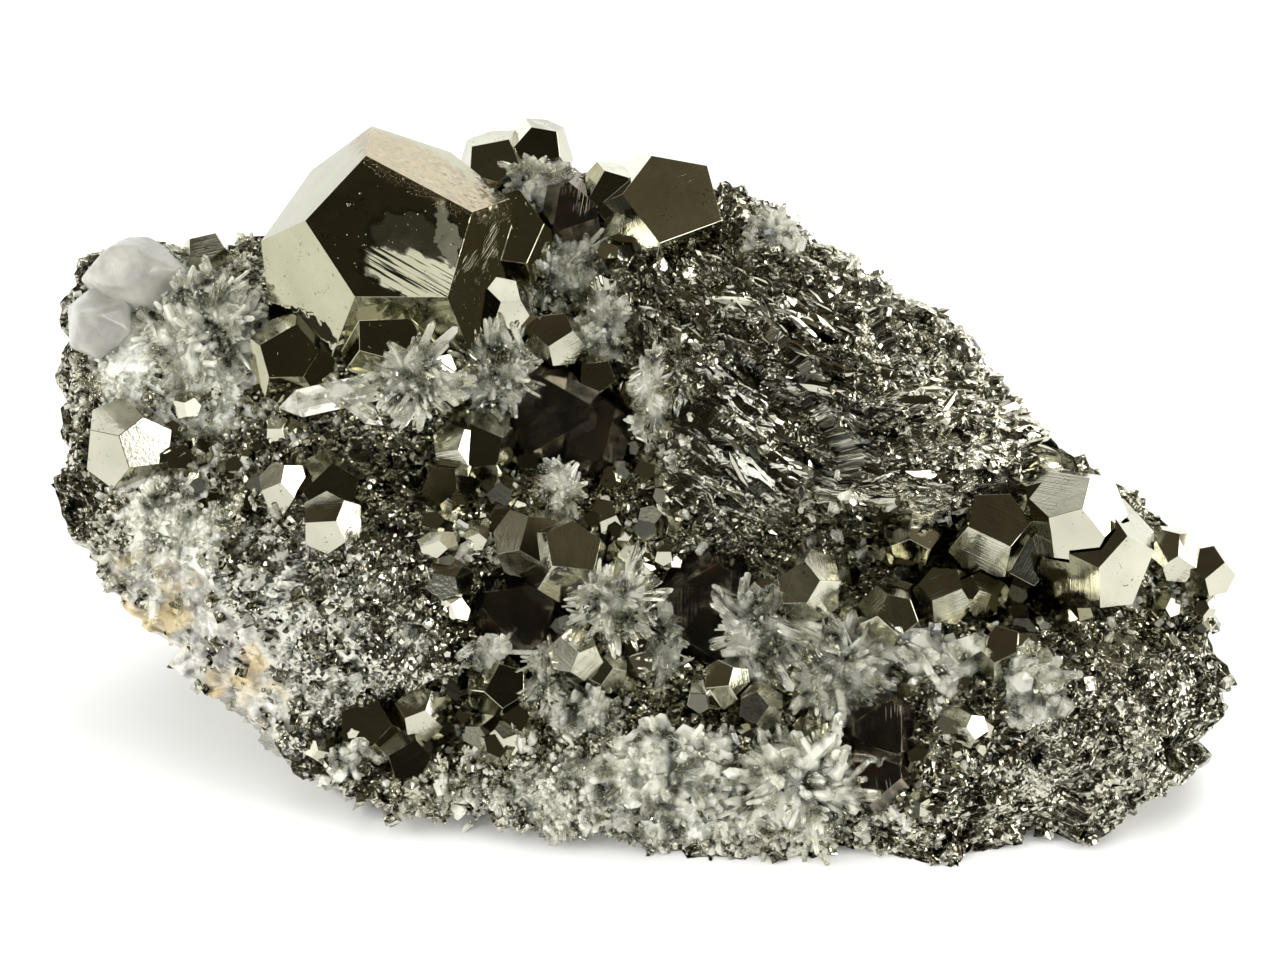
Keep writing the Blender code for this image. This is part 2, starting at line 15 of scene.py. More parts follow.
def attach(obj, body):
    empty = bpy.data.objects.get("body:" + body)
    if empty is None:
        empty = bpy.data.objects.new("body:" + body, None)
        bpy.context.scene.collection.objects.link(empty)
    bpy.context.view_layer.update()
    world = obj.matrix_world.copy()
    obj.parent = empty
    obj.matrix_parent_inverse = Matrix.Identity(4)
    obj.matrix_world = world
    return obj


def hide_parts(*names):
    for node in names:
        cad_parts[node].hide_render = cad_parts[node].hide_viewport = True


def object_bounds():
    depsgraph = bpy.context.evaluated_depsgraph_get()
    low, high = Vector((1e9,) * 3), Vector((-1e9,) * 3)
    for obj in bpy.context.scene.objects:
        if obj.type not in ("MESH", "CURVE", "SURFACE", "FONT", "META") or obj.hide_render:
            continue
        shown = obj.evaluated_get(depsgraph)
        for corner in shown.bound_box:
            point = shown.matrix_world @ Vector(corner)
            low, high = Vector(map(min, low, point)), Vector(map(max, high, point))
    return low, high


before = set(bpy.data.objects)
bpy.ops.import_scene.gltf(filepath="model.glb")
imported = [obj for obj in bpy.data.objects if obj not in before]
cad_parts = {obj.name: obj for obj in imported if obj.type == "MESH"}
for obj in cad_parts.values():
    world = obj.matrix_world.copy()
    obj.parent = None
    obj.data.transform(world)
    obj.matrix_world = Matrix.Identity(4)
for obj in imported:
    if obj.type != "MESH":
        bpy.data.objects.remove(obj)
cad_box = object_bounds()

MM = 0.001
LOOK_DOWN = np.radians(35.0)
EYE_DISTANCE = 300.0
MIDDLE_HEIGHT = 25.0
FRAME_WIDTH = 128.0
SENSOR = 36.0
TABLE_HALF = 1500.0

# The rock, as its solid is shaped.
OUTLINE = [
    (-58.0, 17.0), (-56.4, 22.0), (-51.0, 23.7), (-43.0, 24.3), (-31.0, 25.5), (-17.0, 29.0),
    (-2.0, 30.0), (6.0, 29.6), (12.5, 26.5), (18.0, 23.0), (26.0, 19.2), (32.0, 15.8),
    (34.2, 11.6), (41.6, 3.2), (53.0, -5.5), (58.0, -9.0), (57.6, -16.5), (59.4, -22.9),
    (56.4, -27.8), (50.6, -32.2), (42.6, -35.8), (22.0, -37.0), (12.0, -38.0), (4.0, -37.6),
    (-2.0, -36.0), (-14.0, -34.4), (-24.0, -33.4), (-31.4, -30.6), (-39.2, -23.4),
    (-47.6, -16.2), (-53.6, -9.6), (-56.6, -2.0), (-58.2, 4.0), (-57.8, 10.0),
]
OUTLINE_MIDDLE = (0.0, -2.0)
FACE_OUT = -1.5
FACE_LEAN = 0.25
FACE_BULGE = 4.5
RELIEF = [
    (19.0, 7.0, 22.0, 11.5, -24.0, 6.0, 2.2),
    (-28.0, -9.5, 15.0, 10.0, -20.0, 4.5, 1.6),
    (-4.5, 9.0, 7.0, 10.0, 0.0, -5.5, 1.4),
    (30.0, -8.0, 16.0, 4.2, -7.0, -7.0, 1.6),
    (-13.0, -13.5, 6.0, 5.5, 0.0, -4.5, 1.4),
    (6.5, -13.0, 6.0, 6.0, 0.0, -4.5, 1.4),
    (5.0, -30.0, 24.0, 6.0, -4.0, 3.5, 1.6),
    (42.0, -23.0, 15.0, 9.0, 10.0, 3.5, 1.8),
    (-24.0, -25.0, 8.0, 3.8, 12.0, -3.5, 1.6),
    (-47.0, 15.0, 10.0, 8.0, 0.0, 2.5, 1.6),
    (-13.0, 22.0, 8.0, 6.0, 0.0, -4.0, 1.6),
    (-47.0, -7.0, 8.0, 6.0, -40.0, 2.0, 1.4),
    (24.0, 19.0, 8.0, 3.0, -20.0, 1.8, 2.0),
    (50.0, -14.5, 5.0, 3.0, -10.0, -2.5, 1.6),
    (-25.0, 11.5, 8.5, 4.0, 0.0, 4.0, 1.6),
]
BACK_TOP_OUT = -7.0
BACK_SLOPE = 0.62
BACK_TOP_UP = 31.0
END_TAPER_START = 26.0
END_TAPER_LENGTH = 36.0
ROUGH_LOW = (-85.0, -60.0, -20.0)
ROUGH_HIGH = (85.0, 60.0, 85.0)
ROUGH_CELL = 8.5
ROUGH_RISE = 1.5
# The skin's grid, how far round its front goes, where its rim is read from the relief, and how much
# the painted shade, with some tarnish, darkens its hollows on the back.
SKIN_STEPS = 120
FRONT_SHARE = -0.5
INSIDE_RIM = 0.999
BACK_HOLLOWS = 0.35

# A quartz group, as its solid is placed: across, up, half width, half height and height above
# the rock, then the needles on it: how many, their length, thickness and seed.
QUARTZ = {
    "quartz_left_mass": (-44.0, 14.4, 6.6, 7.0, 2.4, 230, 2.4, 0.75, 11),
    "quartz_left_crust": (-47.2, -4.0, 3.6, 4.6, 1.4, 120, 1.8, 0.6, 14),
    "quartz_star": (-22.4, 10.2, 3.0, 3.0, 5.6, 90, 3.6, 0.8, 15),
    "quartz_star_right": (-14.2, 10.6, 4.0, 4.2, 4.0, 120, 2.8, 0.6, 16),
    "quartz_back_mass": (-8.0, 21.0, 7.2, 4.6, 3.8, 200, 2.8, 0.6, 17),
    "quartz_column": (-3.6, 15.4, 2.2, 4.4, 3.2, 50, 2.2, 0.7, 18),
    "quartz_top": (-9.6, 30.0, 4.0, 2.4, 3.4, 60, 2.2, 0.8, 19),
    "quartz_ridge_end": (13.4, 23.4, 4.0, 3.4, 2.0, 50, 2.2, 1.1, 20),
    "quartz_ledge": (1.0, 8.6, 1.6, 4.6, 3.2, 60, 2.0, 0.45, 21),
    "quartz_spray": (-2.6, -12.4, 3.2, 3.0, 5.6, 110, 3.6, 0.6, 22),
    "quartz_spray_tail": (2.2, -16.4, 1.9, 4.2, 2.8, 60, 3.4, 0.6, 23),
    "quartz_low_twins": (-14.8, -16.8, 2.2, 1.5, 5.0, 14, 2.6, 1.1, 24),
    "quartz_low_burst": (-9.2, -19.6, 1.9, 3.6, 2.8, 60, 3.2, 0.5, 25),
    "quartz_low_mass": (-5.4, -23.6, 3.8, 2.4, 2.0, 60, 2.0, 0.8, 26),
    "quartz_deep": (11.6, -15.4, 3.4, 4.4, 4.2, 60, 3.8, 0.9, 27),
    "quartz_great_burst": (20.0, -19.0, 4.4, 4.4, 3.8, 90, 4.4, 0.85, 28),
    "quartz_prisms": (29.6, -18.0, 3.6, 2.6, 3.4, 26, 4.2, 1.5, 29),
    "quartz_blob": (39.0, -21.0, 3.4, 4.2, 2.2, 30, 2.6, 1.7, 30),
    "quartz_foot": (3.0, -29.0, 8.6, 4.4, 2.0, 110, 2.4, 1.1, 31),
    "quartz_foot_right": (15.6, -30.2, 6.0, 4.6, 2.2, 110, 3.8, 0.95, 32),
    "quartz_corner": (-28.6, -28.0, 2.8, 1.8, 1.6, 20, 2.2, 1.1, 33),
    "quartz_small": (-8.0, -0.6, 1.8, 2.6, 3.6, 40, 2.4, 0.6, 34),
}
LUMP_DEPTH = 0.62
# The sugary masses, cloudier than the sprays, and how much light each lets through its clouds.
CLOUDY_QUARTZ = ["quartz_foot", "quartz_foot_right", "quartz_corner", "quartz_left_mass", "quartz_left_crust"]
SPRAY_CLEARNESS = 0.63
CRUST_CLEARNESS = 0.46
# Needles of a group: how many for one in its count, their size, how far their bundles stray.
NEEDLE_SIZES = [(0.6, 1.0, 0.42), (0.8, 0.66, 0.5), (0.8, 0.4, 0.7)]
NEEDLES_IN_BUNDLE = 4
BUNDLE_SPREAD = 0.2
LUMP_ROWS = 22
LUMP_COLUMNS = 44
LUMP_ROUGHNESS = 0.2

# A smooth quartz crystal: across, up, how proud it stands, its radius, half its length, the way
# its long axis points (across, up, out), and its turn about that axis.
SMOOTH_QUARTZ = {
    "quartz_left_block": (-50.6, 20.4, 1.4, 3.6, 6.4, (1.0, 0.05, 0.25), 12.0),
    "quartz_left_ball": (-54.2, 15.7, 1.6, 3.5, 4.6, (-0.3, 0.2, 1.0), 22.0),
}
# Its end faces lean this far from the long axis, and its edges are this sharp.
END_FACE_LEAN = 51.8
EDGE_SHARPNESS = 20.0
SMOOTH_STEPS = 44

# How many of each small piece are scattered over the rock's front.
GRAINS = 4600
SMALL_CRYSTALS = 820
SUGAR_PRISMS = 7400
FLAKES = 950
# How wide a crystal's edges are worn.
WORN_EDGE = 0.06
WORN_PRISM_EDGE = 0.05
# The lowest a scattered piece's points may lie, so that none dips into the table.
LOWEST = 0.05

# How the dome's streaks run: their fall to the right, and where and how far they turn uphill.
STREAK_FALL = -0.72
STREAK_RISE = 0.9
STREAK_TURN = (6.0, 34.0)

# Regions of the front: across, up, half width, half height, turn.
STRIATED_DOME = (19.0, 8.0, 25.0, 13.5, -24.0)
DARK_SHEETS = (7.5, 3.4, 9.5, 8.2, -35.0)
SUGARY_FOOT = (3.0, -32.0, 21.0, 5.5, -2.0)
SUGARY_LEFT = (-46.0, 13.0, 11.0, 12.0, 10.0)
SUGARY_LEFT_SIDE = (-47.0, -4.0, 6.0, 8.0, 0.0)
SUGARY_REGIONS = (SUGARY_FOOT, SUGARY_LEFT, SUGARY_LEFT_SIDE)
GREY_ROCK = (-44.0, -16.5, 6.0, 14.0, 42.0)
# The side that mirrors the table, where the rock's colour is raised to near white as a painted highlight.
TABLE_SHEEN_SIDE = (-35.0, -15.0, 10.5, 15.0, 35.0)
ROCK_REGIONS = {"striated": STRIATED_DOME, "sheets": DARK_SHEETS, "grey": GREY_ROCK, "table_sheen": TABLE_SHEEN_SIDE}
CRYSTAL_BANDS = [
    (-5.0, 1.0, 9.0, 17.0, 12.0),
    (4.0, -13.0, 17.0, 6.5, -4.0),
    (37.0, -9.0, 20.0, 5.0, -12.0),
    (-22.0, -25.0, 10.0, 4.5, 10.0),
    (-24.0, 12.0, 11.0, 5.0, -10.0),
    (20.0, -25.0, 12.0, 6.0, 0.0),
    (-40.0, 2.0, 7.0, 7.0, 0.0),
    (-13.0, -8.0, 8.0, 8.0, 0.0),
]

# The great crystal's marks as seen: a streaked patch and its lean, a rubbed band, a hazy patch, a
# bright foot and a pitted strip.
STREAKED_PATCH = (-21.9, 20.1, 6.6, 2.6, -21.0)
STREAK_LEAN = -29.0
RUBBED_BAND = (-19.3, 24.0, 1.3, 4.4, 8.0)
HAZE = (-23.0, 23.6, 4.6, 3.4, -24.0)
BRIGHT_FOOT = (-34.0, 15.6, 4.6, 1.3, -22.0)
PITTED_STRIP = (-21.4, 30.6, 9.0, 2.4, -28.0)
# The ways that a face looks when it mirrors the bright table on the right, and the table before
# the specimen on the left: across, up, out.
BRIGHT_WAY = (0.505, -0.375, 0.777)
TABLE_WAY = (-0.35, -0.42, 0.84)
# The ways that the great crystal's front, left and right faces look.
FRONT_FACE_WAY = (0.12, 0.22, 0.97)
LEFT_FACE_WAY = (-0.71, -0.39, 0.59)
RIGHT_FACE_WAY = (0.93, -0.16, 0.34)


def linear(colour):
    """The linear colour of an sRGB hex value."""
    parts = np.array([int(colour[k : k + 2], 16) for k in (1, 3, 5)]) / 255
    made = np.where(parts <= 0.04045, parts / 12.92, ((parts + 0.055) / 1.055) ** 2.4)
    return (*made.tolist(), 1.0)


def world_points(across, up, out):
    """Points seen at (across, up) on the picture plane and standing out from it, in metres."""
    nearer = 1 - np.asarray(out, float) / EYE_DISTANCE
    right, rise = np.asarray(across) * nearer, np.asarray(up) * nearer
    c, s = np.cos(LOOK_DOWN), np.sin(LOOK_DOWN)
    return MM * np.stack([right, rise * s - out * c, rise * c + out * s + MIDDLE_HEIGHT], axis=-1)


def seen_places(points):
    """Across, up and out of world points in metres, the reverse of world_points."""
    x, y, z = (np.asarray(points).T) / MM
    c, s = np.cos(LOOK_DOWN), np.sin(LOOK_DOWN)
    out = (z - MIDDLE_HEIGHT) * s - y * c
    nearer = 1 - out / EYE_DISTANCE
    return x / nearer, (y * s + (z - MIDDLE_HEIGHT) * c) / nearer, out


def world_directions(seen):
    """Directions given as across, up and out, turned to the world."""
    right, rise, out = np.moveaxis(np.asarray(seen), -1, 0)
    c, s = np.cos(LOOK_DOWN), np.sin(LOOK_DOWN)
    return np.stack([right, rise * s - out * c, rise * c + out * s], axis=-1)


def unit(vectors):
    """The same ways, each one long."""
    return vectors / np.linalg.norm(vectors, axis=-1, keepdims=True)


def rim_reach(angle):
    """The distance from the outline's middle to the outline at each angle."""
    points = np.array(OUTLINE) - OUTLINE_MIDDLE
    turns = np.arctan2(points[:, 1], points[:, 0])
    order = np.argsort(turns)
    return np.interp(angle, turns[order], np.hypot(*points[order].T), period=2 * np.pi)


def region(across, up, place, steepness=2.0):
    """One in the middle of a turned ellipse, falling to nothing outside it."""
    x, y, wide, high, turn = place
    c, s = np.cos(np.radians(turn)), np.sin(np.radians(turn))
    along = ((across - x) * c + (up - y) * s) / wide
    aside = ((up - y) * c - (across - x) * s) / high
    return np.exp(-((along**2 + aside**2) ** steepness))


def relief(across, up):
    """How far out the rock's front stands: a leaning, bulging face with mounds and hollows."""
    across, up = np.asarray(across, float), np.asarray(up, float)
    dx, dy = across - OUTLINE_MIDDLE[0], up - OUTLINE_MIDDLE[1]
    share = np.hypot(dx, dy) / rim_reach(np.arctan2(dy, dx))
    out = FACE_OUT - FACE_LEAN * up + FACE_BULGE * (1 - share**2)
    for x, y, wide, high, turn, rise, steepness in RELIEF:
        out = out + rise * region(across, up, (x, y, wide, high, turn), steepness)
    return out


def broken_planes(points, cell, seed, stretch=(1.0, 1.0, 1.0)):
    """Heights between about -1.6 and 1.6: space is cut into cells around jittered points, and in
    each cell the height is a plane with a tilt of its own."""
    rng = np.random.default_rng(seed)
    low = np.array(ROUGH_LOW)
    counts = np.ceil((np.array(ROUGH_HIGH) - low) / cell).astype(int)
    jitter = rng.random((*counts, 3))
    slopes = rng.uniform(-1, 1, (*counts, 3))
    heights = rng.uniform(-1, 1, counts)
    spots = (np.asarray(points) / stretch - low) / cell
    base = np.floor(spots).astype(int)
    nearest = np.full(len(spots), np.inf)
    made = np.zeros(len(spots))
    for step in np.ndindex(3, 3, 3):
        index = base + np.array(step) - 1
        wrapped = tuple((index % counts).T)
        apart = spots - index - jitter[wrapped]
        distance = (apart**2).sum(1)
        closer = distance < nearest
        height = 0.6 * heights[wrapped] + (apart * slopes[wrapped]).sum(1)
        made = np.where(closer, height, made)
        nearest = np.where(closer, distance, nearest)
    return made


def ball_grid(steps):
    """Directions on a cube-shaped grid blown up to a ball, and its quads. Shared edges are merged."""
    line = np.tan(np.linspace(-1, 1, steps + 1) * np.pi / 4)
    u, v = np.meshgrid(line, line, indexing="ij")
    one = np.ones_like(u)
    sides = [(u, v, one), (v, u, -one), (one, u, v), (-one, v, u), (v, one, u), (u, -one, v)]
    points = np.concatenate([np.stack(side, -1).reshape(-1, 3) for side in sides])
    k = np.arange((steps + 1) ** 2).reshape(steps + 1, steps + 1)
    quad = np.stack([k[:-1, :-1], k[1:, :-1], k[1:, 1:], k[:-1, 1:]], -1).reshape(-1, 4)
    quads = np.concatenate([quad + side * (steps + 1) ** 2 for side in range(6)])
    _, first, back = np.unique(np.round(points, 6), axis=0, return_index=True, return_inverse=True)
    return unit(points[first]), back.reshape(-1)[quads]


def add_mesh(name, points, faces, smooth=False):
    """A mesh piece from arrays of points in metres and of faces."""
    mesh = bpy.data.meshes.new(name)
    mesh.from_pydata(points, [], faces)
    mesh.validate()
    mesh.update()
    mesh.polygons.foreach_set("use_smooth", np.full(len(mesh.polygons), smooth))
    piece = bpy.data.objects.new(name, mesh)
    bpy.context.scene.collection.objects.link(piece)
    return piece


def dress(piece, material, slot_name, *nodes):
    """Gives a piece its material and the solids it stands for, which it hides. The slot name is not used."""
    piece.data.materials.clear()
    piece.data.materials.append(material)
    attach(piece, "root")
    if nodes:
        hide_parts(*nodes)
    return piece


def add_attribute(piece, name, values, kind="FLOAT"):
    """A value or vector at each of a piece's points, for its material to read."""
    made = piece.data.attributes.new(name, kind, "POINT")
    field = "value" if kind == "FLOAT" else "vector"
    made.data.foreach_set(field, np.asarray(values, np.float32).ravel())


def streak_turn(across):
    """How far the dome's streaks have turned uphill, from nothing at its left to one at its right."""
    start, end = STREAK_TURN
    return np.clip((across - start) / (end - start), 0, 1)


def flow_places(across, up, out):
    """Places along the dome's streaks: along them, across them and out. The streaks fall to the
    right on the dome's left, and turn gently uphill towards its right, so the way up loses the
    streaks' slope summed from the middle to there."""
    start, end = STREAK_TURN
    turned = streak_turn(across)
    bend = (end - start) * (turned**3 - turned**4 / 2) + np.maximum(across - end, 0)
    return np.stack([across, up - STREAK_FALL * across - STREAK_RISE * bend, out], axis=-1)


def skin_places(directions):
    """Across, up and out for a ball's directions, and which lie on the front. A direction's angle
    is its place's angle about the outline's middle, and how far it points from the eye is the
    share of the way to the rim. The front is the relief. The back starts at the rim and comes in
    to a wall that leans under the rock, steeply at the rim and level at its middle."""
    toward = directions[:, 2]
    angle = np.arctan2(directions[:, 1], directions[:, 0])
    front = toward >= FRONT_SHARE
    share = np.sqrt(np.where(front, (1 - toward) / (1 - FRONT_SHARE), (1 + toward) / (1 + FRONT_SHARE)))
    reach = rim_reach(angle)
    across = OUTLINE_MIDDLE[0] + share * reach * np.cos(angle)
    up = OUTLINE_MIDDLE[1] + share * reach * np.sin(angle)
    rim = INSIDE_RIM * reach
    rim_out = relief(OUTLINE_MIDDLE[0] + rim * np.cos(angle), OUTLINE_MIDDLE[1] + rim * np.sin(angle))
    past = np.clip((np.abs(across) - END_TAPER_START) / END_TAPER_LENGTH, 0, 1)
    wall = BACK_TOP_OUT - BACK_SLOPE * (BACK_TOP_UP - up) * (1 - past**1.5)
    depth = (1 - share**3) ** 0.55
    out = np.where(front, relief(across, up), rim_out + depth * (np.minimum(wall, rim_out) - rim_out))
    return across, up, out, front


def skin_lift(places, flow, striated, sheets, sugary):
    """How far each place is broken out of the skin: planes 2.9 and 1.3 mm across, and on the dome
    plates drawn out four times along its streaks, with ledges 4.2 mm apart. Dark sheets and sugary
    places are smoother."""
    drawn = striated > 0.5
    stretch = (4.0, 1.0, 2.0)
    coarse = np.where(drawn, broken_planes(flow, 1.9, 6, stretch), broken_planes(places, 2.9, 6))
    middling = np.where(drawn, broken_planes(flow, 0.8, 8, stretch), broken_planes(places, 1.3, 8))
    ledges = broken_planes(flow, 4.2, 10, (3.0, 1.0, 2.0))
    lift = (0.8 - 0.15 * striated) * coarse + (0.4 - 0.14 * striated - 0.16 * sheets) * middling
    lift = lift + 0.9 * striated * ledges
    return lift * (1 - 0.4 * sugary)


def rock_skin():
    """The rock's skin: a ball laid over the front and round to the back, roughened by broken planes
    of falling size. Its points carry what its material needs: how striated, sheeted, sugary and grey
    they are, how much they mirror the table and take its painted highlight, how hollow they are for
    the painted shade, whether they are on the front, and their place in the streaks."""
    directions, quads = ball_grid(SKIN_STEPS)
    across, up, out, front = skin_places(directions)
    places = world_points(across, up, out) / MM
    outward = unit(places - places.mean(0))
    places = places + outward * (ROUGH_RISE * broken_planes(places, ROUGH_CELL, 5))[:, None]
    marks = {name: np.where(front, region(across, up, place), 0.0) for name, place in ROCK_REGIONS.items()}
    sugary = sum(region(across, up, place) for place in SUGARY_REGIONS)
    marks["sugary"] = np.where(front, np.clip(sugary, 0, 1), 0.0)
    flow = flow_places(across, up, out)
    lift = skin_lift(places, flow, marks["striated"], marks["sheets"], marks["sugary"])
    out_way = np.where(front[:, None], world_directions(np.array([[0.0, 0.0, 1.0]])), outward)
    places = places + unit(outward + out_way) * lift[:, None]
    places[:, 2] = np.maximum(places[:, 2], 0.0)
    piece = add_mesh("rock_skin", places * MM, quads)
    # How deep each hollow lies, for the painted shade, with some tarnish, that the material puts there,
    # weaker on the back.
    marks["hollow"] = np.clip(-lift / 0.9, 0, 1) * np.where(front, 1.0, BACK_HOLLOWS)
    marks["fore"] = np.where(front, 1.0, 0.0)
    for name, values in marks.items():
        add_attribute(piece, name, values)
    add_attribute(piece, "flow", flow, "FLOAT_VECTOR")
    return piece


def axes_towards(ways, spin):
    """For each way, three axes of which the last is that way, spun about it."""
    ways = unit(ways)
    helper = np.where(np.abs(ways[:, 2:]) < 0.9, [[0.0, 0.0, 1.0]], [[1.0, 0.0, 0.0]])
    first = unit(np.cross(helper, ways))
    second = np.cross(ways, first)
    c, s = np.cos(spin)[:, None], np.sin(spin)[:, None]
    return np.stack([c * first + s * second, c * second - s * first, ways], axis=-1)


def copies(template, faces, axes, sizes, places):
    """A template's points scaled, turned and put at each place, with the faces of every copy."""
    points = np.einsum("nij,nkj->nki", axes, template[None] * sizes[:, None, :]) + places[:, None, :]
    shifts = np.arange(len(places))[:, None, None] * len(template)
    return points.reshape(-1, 3), (faces[None] + shifts).reshape(-1, faces.shape[1])


def needle_template():
    """A six-sided prism one thick and one long, wider at its closed foot, its top a low pyramid."""
    turn = np.arange(6) * np.pi / 3
    ring = np.stack([np.cos(turn) / 2, np.sin(turn) / 2], 1)
    shoulder = 1 - 0.14 * (1 + 0.5 * np.cos(3 * turn))
    points = np.concatenate([
        np.column_stack([ring * 1.3, np.zeros(6)]),
        np.column_stack([ring * 0.94, shoulder]),
        [[0.0, 0.0, 0.0], [0.08, 0.0, 1.0]],
    ])
    k = np.arange(6)
    after = (k + 1) % 6
    sides = [np.stack([k, after, after + 6], 1), np.stack([k, after + 6, k + 6], 1)]
    ends = [np.stack([after, k, np.full(6, 12)], 1), np.stack([k + 6, after + 6, np.full(6, 13)], 1)]
    return points, np.concatenate(sides + ends)


def pyritohedron_template():
    """A pyritohedron with a half width of one: a cube's eight corners, and over each side a ridge
    of two corners, one and a half times as far out and three quarters of a side long. Each of the
    twelve faces is the five corners farthest along its normal, in order around it, as a fan."""
    sides = np.array([(i, j, k) for i in (-1, 1) for j in (-1, 1) for k in (-1, 1)], float)
    ridges = np.array([(0.0, i * 1.5, j * 0.75) for i in (-1, 1) for j in (-1, 1)])
    points = np.concatenate([sides, ridges, np.roll(ridges, 1, axis=1), np.roll(ridges, 2, axis=1)]) / 1.5
    normals = np.array([(i, j * 2.0, 0.0) for i in (-1, 1) for j in (-1, 1)])
    normals = np.concatenate([normals, np.roll(normals, 1, axis=1), np.roll(normals, 2, axis=1)])
    fans = []
    for normal in unit(normals):
        corners = np.argsort(-(points @ normal), kind="stable")[:5]
        first = unit(points[corners[0]] - points[corners].mean(0))
        second = np.cross(normal, first)
        offsets = points[corners] - points[corners].mean(0)
        ring = corners[np.argsort(np.arctan2(offsets @ second, offsets @ first))]
        fans += [[ring[0], ring[k], ring[k + 1]] for k in (1, 2, 3)]
    return points, np.array(fans)


def quartz_group(name, entry):
    """A mound and its needles. The mound is an ellipsoid by latitude and longitude, broken into
    small planes. Needles of three sizes stand on its near half in bundles: a bundle starts at a
    random latitude and longitude and leans at random from the way the mound faces there, and its
    needles lean a little from each other."""
    across, up, wide, high, proud, count, length, thickness, seed = entry
    rng = np.random.default_rng(seed)
    deep = LUMP_DEPTH * min(wide, high)
    middle = world_points(across, up, float(relief(across, up)) + proud - deep) / MM
    sizes = np.array([wide, high, deep])
    lump, lump_faces = lump_surface(0.86 * sizes, middle, seed)
    points, faces = [lump], [lump_faces]
    template, needle_faces = needle_template()
    for number, size, spread in NEEDLE_SIZES:
        many = max(3, round(count * number))
        bundles = max(3, many // NEEDLES_IN_BUNDLE)
        tilt = np.arccos(1 - rng.random(bundles) * 1.05)
        turn = rng.uniform(0, 2 * np.pi, bundles)
        way = np.stack([np.sin(tilt) * np.cos(turn), np.sin(tilt) * np.sin(turn), np.cos(tilt)], 1)
        aim = unit(way / np.sqrt(sizes) * np.sqrt(deep) + rng.normal(0, spread, way.shape))
        of_bundle = rng.integers(0, bundles, many)
        way = unit(way[of_bundle] + rng.normal(0, 0.5 * thickness / min(wide, high) + 0.06, (many, 3)))
        foot = middle + world_directions(way * sizes * rng.uniform(0.62, 0.92, (many, 1)))
        aim = unit(aim[of_bundle] + rng.normal(0, BUNDLE_SPREAD, (many, 3)))
        axes = axes_towards(world_directions(aim), rng.uniform(0, np.pi, many))
        long = size * length * rng.uniform(0.55, 1.3, many)
        thick = size**0.7 * thickness * (0.5 + 0.9 * rng.random(many) ** 1.5)
        made, made_faces = copies(template, needle_faces, axes, np.stack([thick, thick, long], 1), foot)
        made[:, 2] = np.maximum(made[:, 2], LOWEST)
        faces.append(made_faces + sum(len(p) for p in points))
        points.append(made)
    return add_mesh(name + "_spray", np.concatenate(points) * MM, np.concatenate(faces))


def lump_surface(sizes, middle, seed):
    """Points and quads of an ellipsoid by latitude and longitude, its poles closed by a fan of
    quads whose two corners fall together there, with broken planes for its roughness."""
    rows = np.linspace(0, np.pi, LUMP_ROWS + 1)[1:-1]
    columns = np.linspace(0, 2 * np.pi, LUMP_COLUMNS, endpoint=False)
    r, c = np.meshgrid(rows, columns, indexing="ij")
    way = np.stack([np.sin(r) * np.cos(c), np.sin(r) * np.sin(c), np.cos(r)], -1).reshape(-1, 3)
    way = np.concatenate([way, [[0.0, 0.0, 1.0], [0.0, 0.0, -1.0]]])
    bumps = 1 + LUMP_ROUGHNESS * broken_planes(way * sizes, 0.32 * sizes.min() + 0.3, seed)
    bumps = bumps * (1 + 0.6 * LUMP_ROUGHNESS * broken_planes(way * sizes, 0.8 * sizes.min(), seed + 1))
    points = middle + world_directions(way * sizes * bumps[:, None])
    k = np.arange((LUMP_ROWS - 1) * LUMP_COLUMNS).reshape(LUMP_ROWS - 1, LUMP_COLUMNS)
    after = np.roll(k, -1, axis=1)
    quads = np.stack([k[:-1], k[1:], after[1:], after[:-1]], -1).reshape(-1, 4)
    top, bottom = k.size, k.size + 1
    ends = np.concatenate([
        np.stack([np.full(LUMP_COLUMNS, top), k[0], after[0], after[0]], 1),
        np.stack([np.full(LUMP_COLUMNS, bottom), after[-1], k[-1], k[-1]], 1),
    ])
    faces = np.concatenate([quads, ends])
    return points, split_quads(faces)


def split_quads(quads):
    """Each quad as two triangles, without the ones that have no area."""
    halves = np.concatenate([quads[:, [0, 1, 2]], quads[:, [0, 2, 3]]])
    return halves[(halves[:, 1] != halves[:, 2]) & (halves[:, 0] != halves[:, 2])]


def smooth_quartz(name, entry):
    """A rounded quartz crystal. Over a ball's directions, the distance to its six sides and twelve
    end faces is blended: the reach is the sum of (way towards a face / how far that face is), each
    to a high power, brought back by the same root, so that the faces meet in soft edges."""
    across, up, proud, radius, half_length, axis, spin = entry
    directions, quads = ball_grid(SMOOTH_STEPS)
    turn = np.radians(60) * np.arange(6)
    lean = np.radians(END_FACE_LEAN)
    sides = np.stack([np.cos(turn), np.sin(turn), np.zeros(6)], 1)
    ends = np.stack([np.sin(lean) * np.cos(turn), np.sin(lean) * np.sin(turn), np.full(6, np.cos(lean))], 1)
    normals = np.concatenate([sides, ends, ends * (1, 1, -1)])
    apart = half_length * np.cos(lean) * (1 + 0.06 * (-1.0) ** np.arange(6))
    distances = np.concatenate([radius * (1 + 0.05 * np.cos(turn)), apart, apart])
    towards = np.clip(directions @ normals.T / distances, 0, None)
    reach = (towards**EDGE_SHARPNESS).sum(1) ** (-1 / EDGE_SHARPNESS)
    shape = directions * reach[:, None]
    axes = axes_towards(world_directions(np.array([axis])), np.radians([spin]))[0]
    middle = world_points(across, up, float(relief(across, up)) + proud) / MM
    bumps = 1 + 0.012 * broken_planes(shape, 2.0, 9)[:, None]
    return add_mesh(name + "_smooth", (middle + (shape * bumps) @ axes.T) * MM, quads, smooth=True)


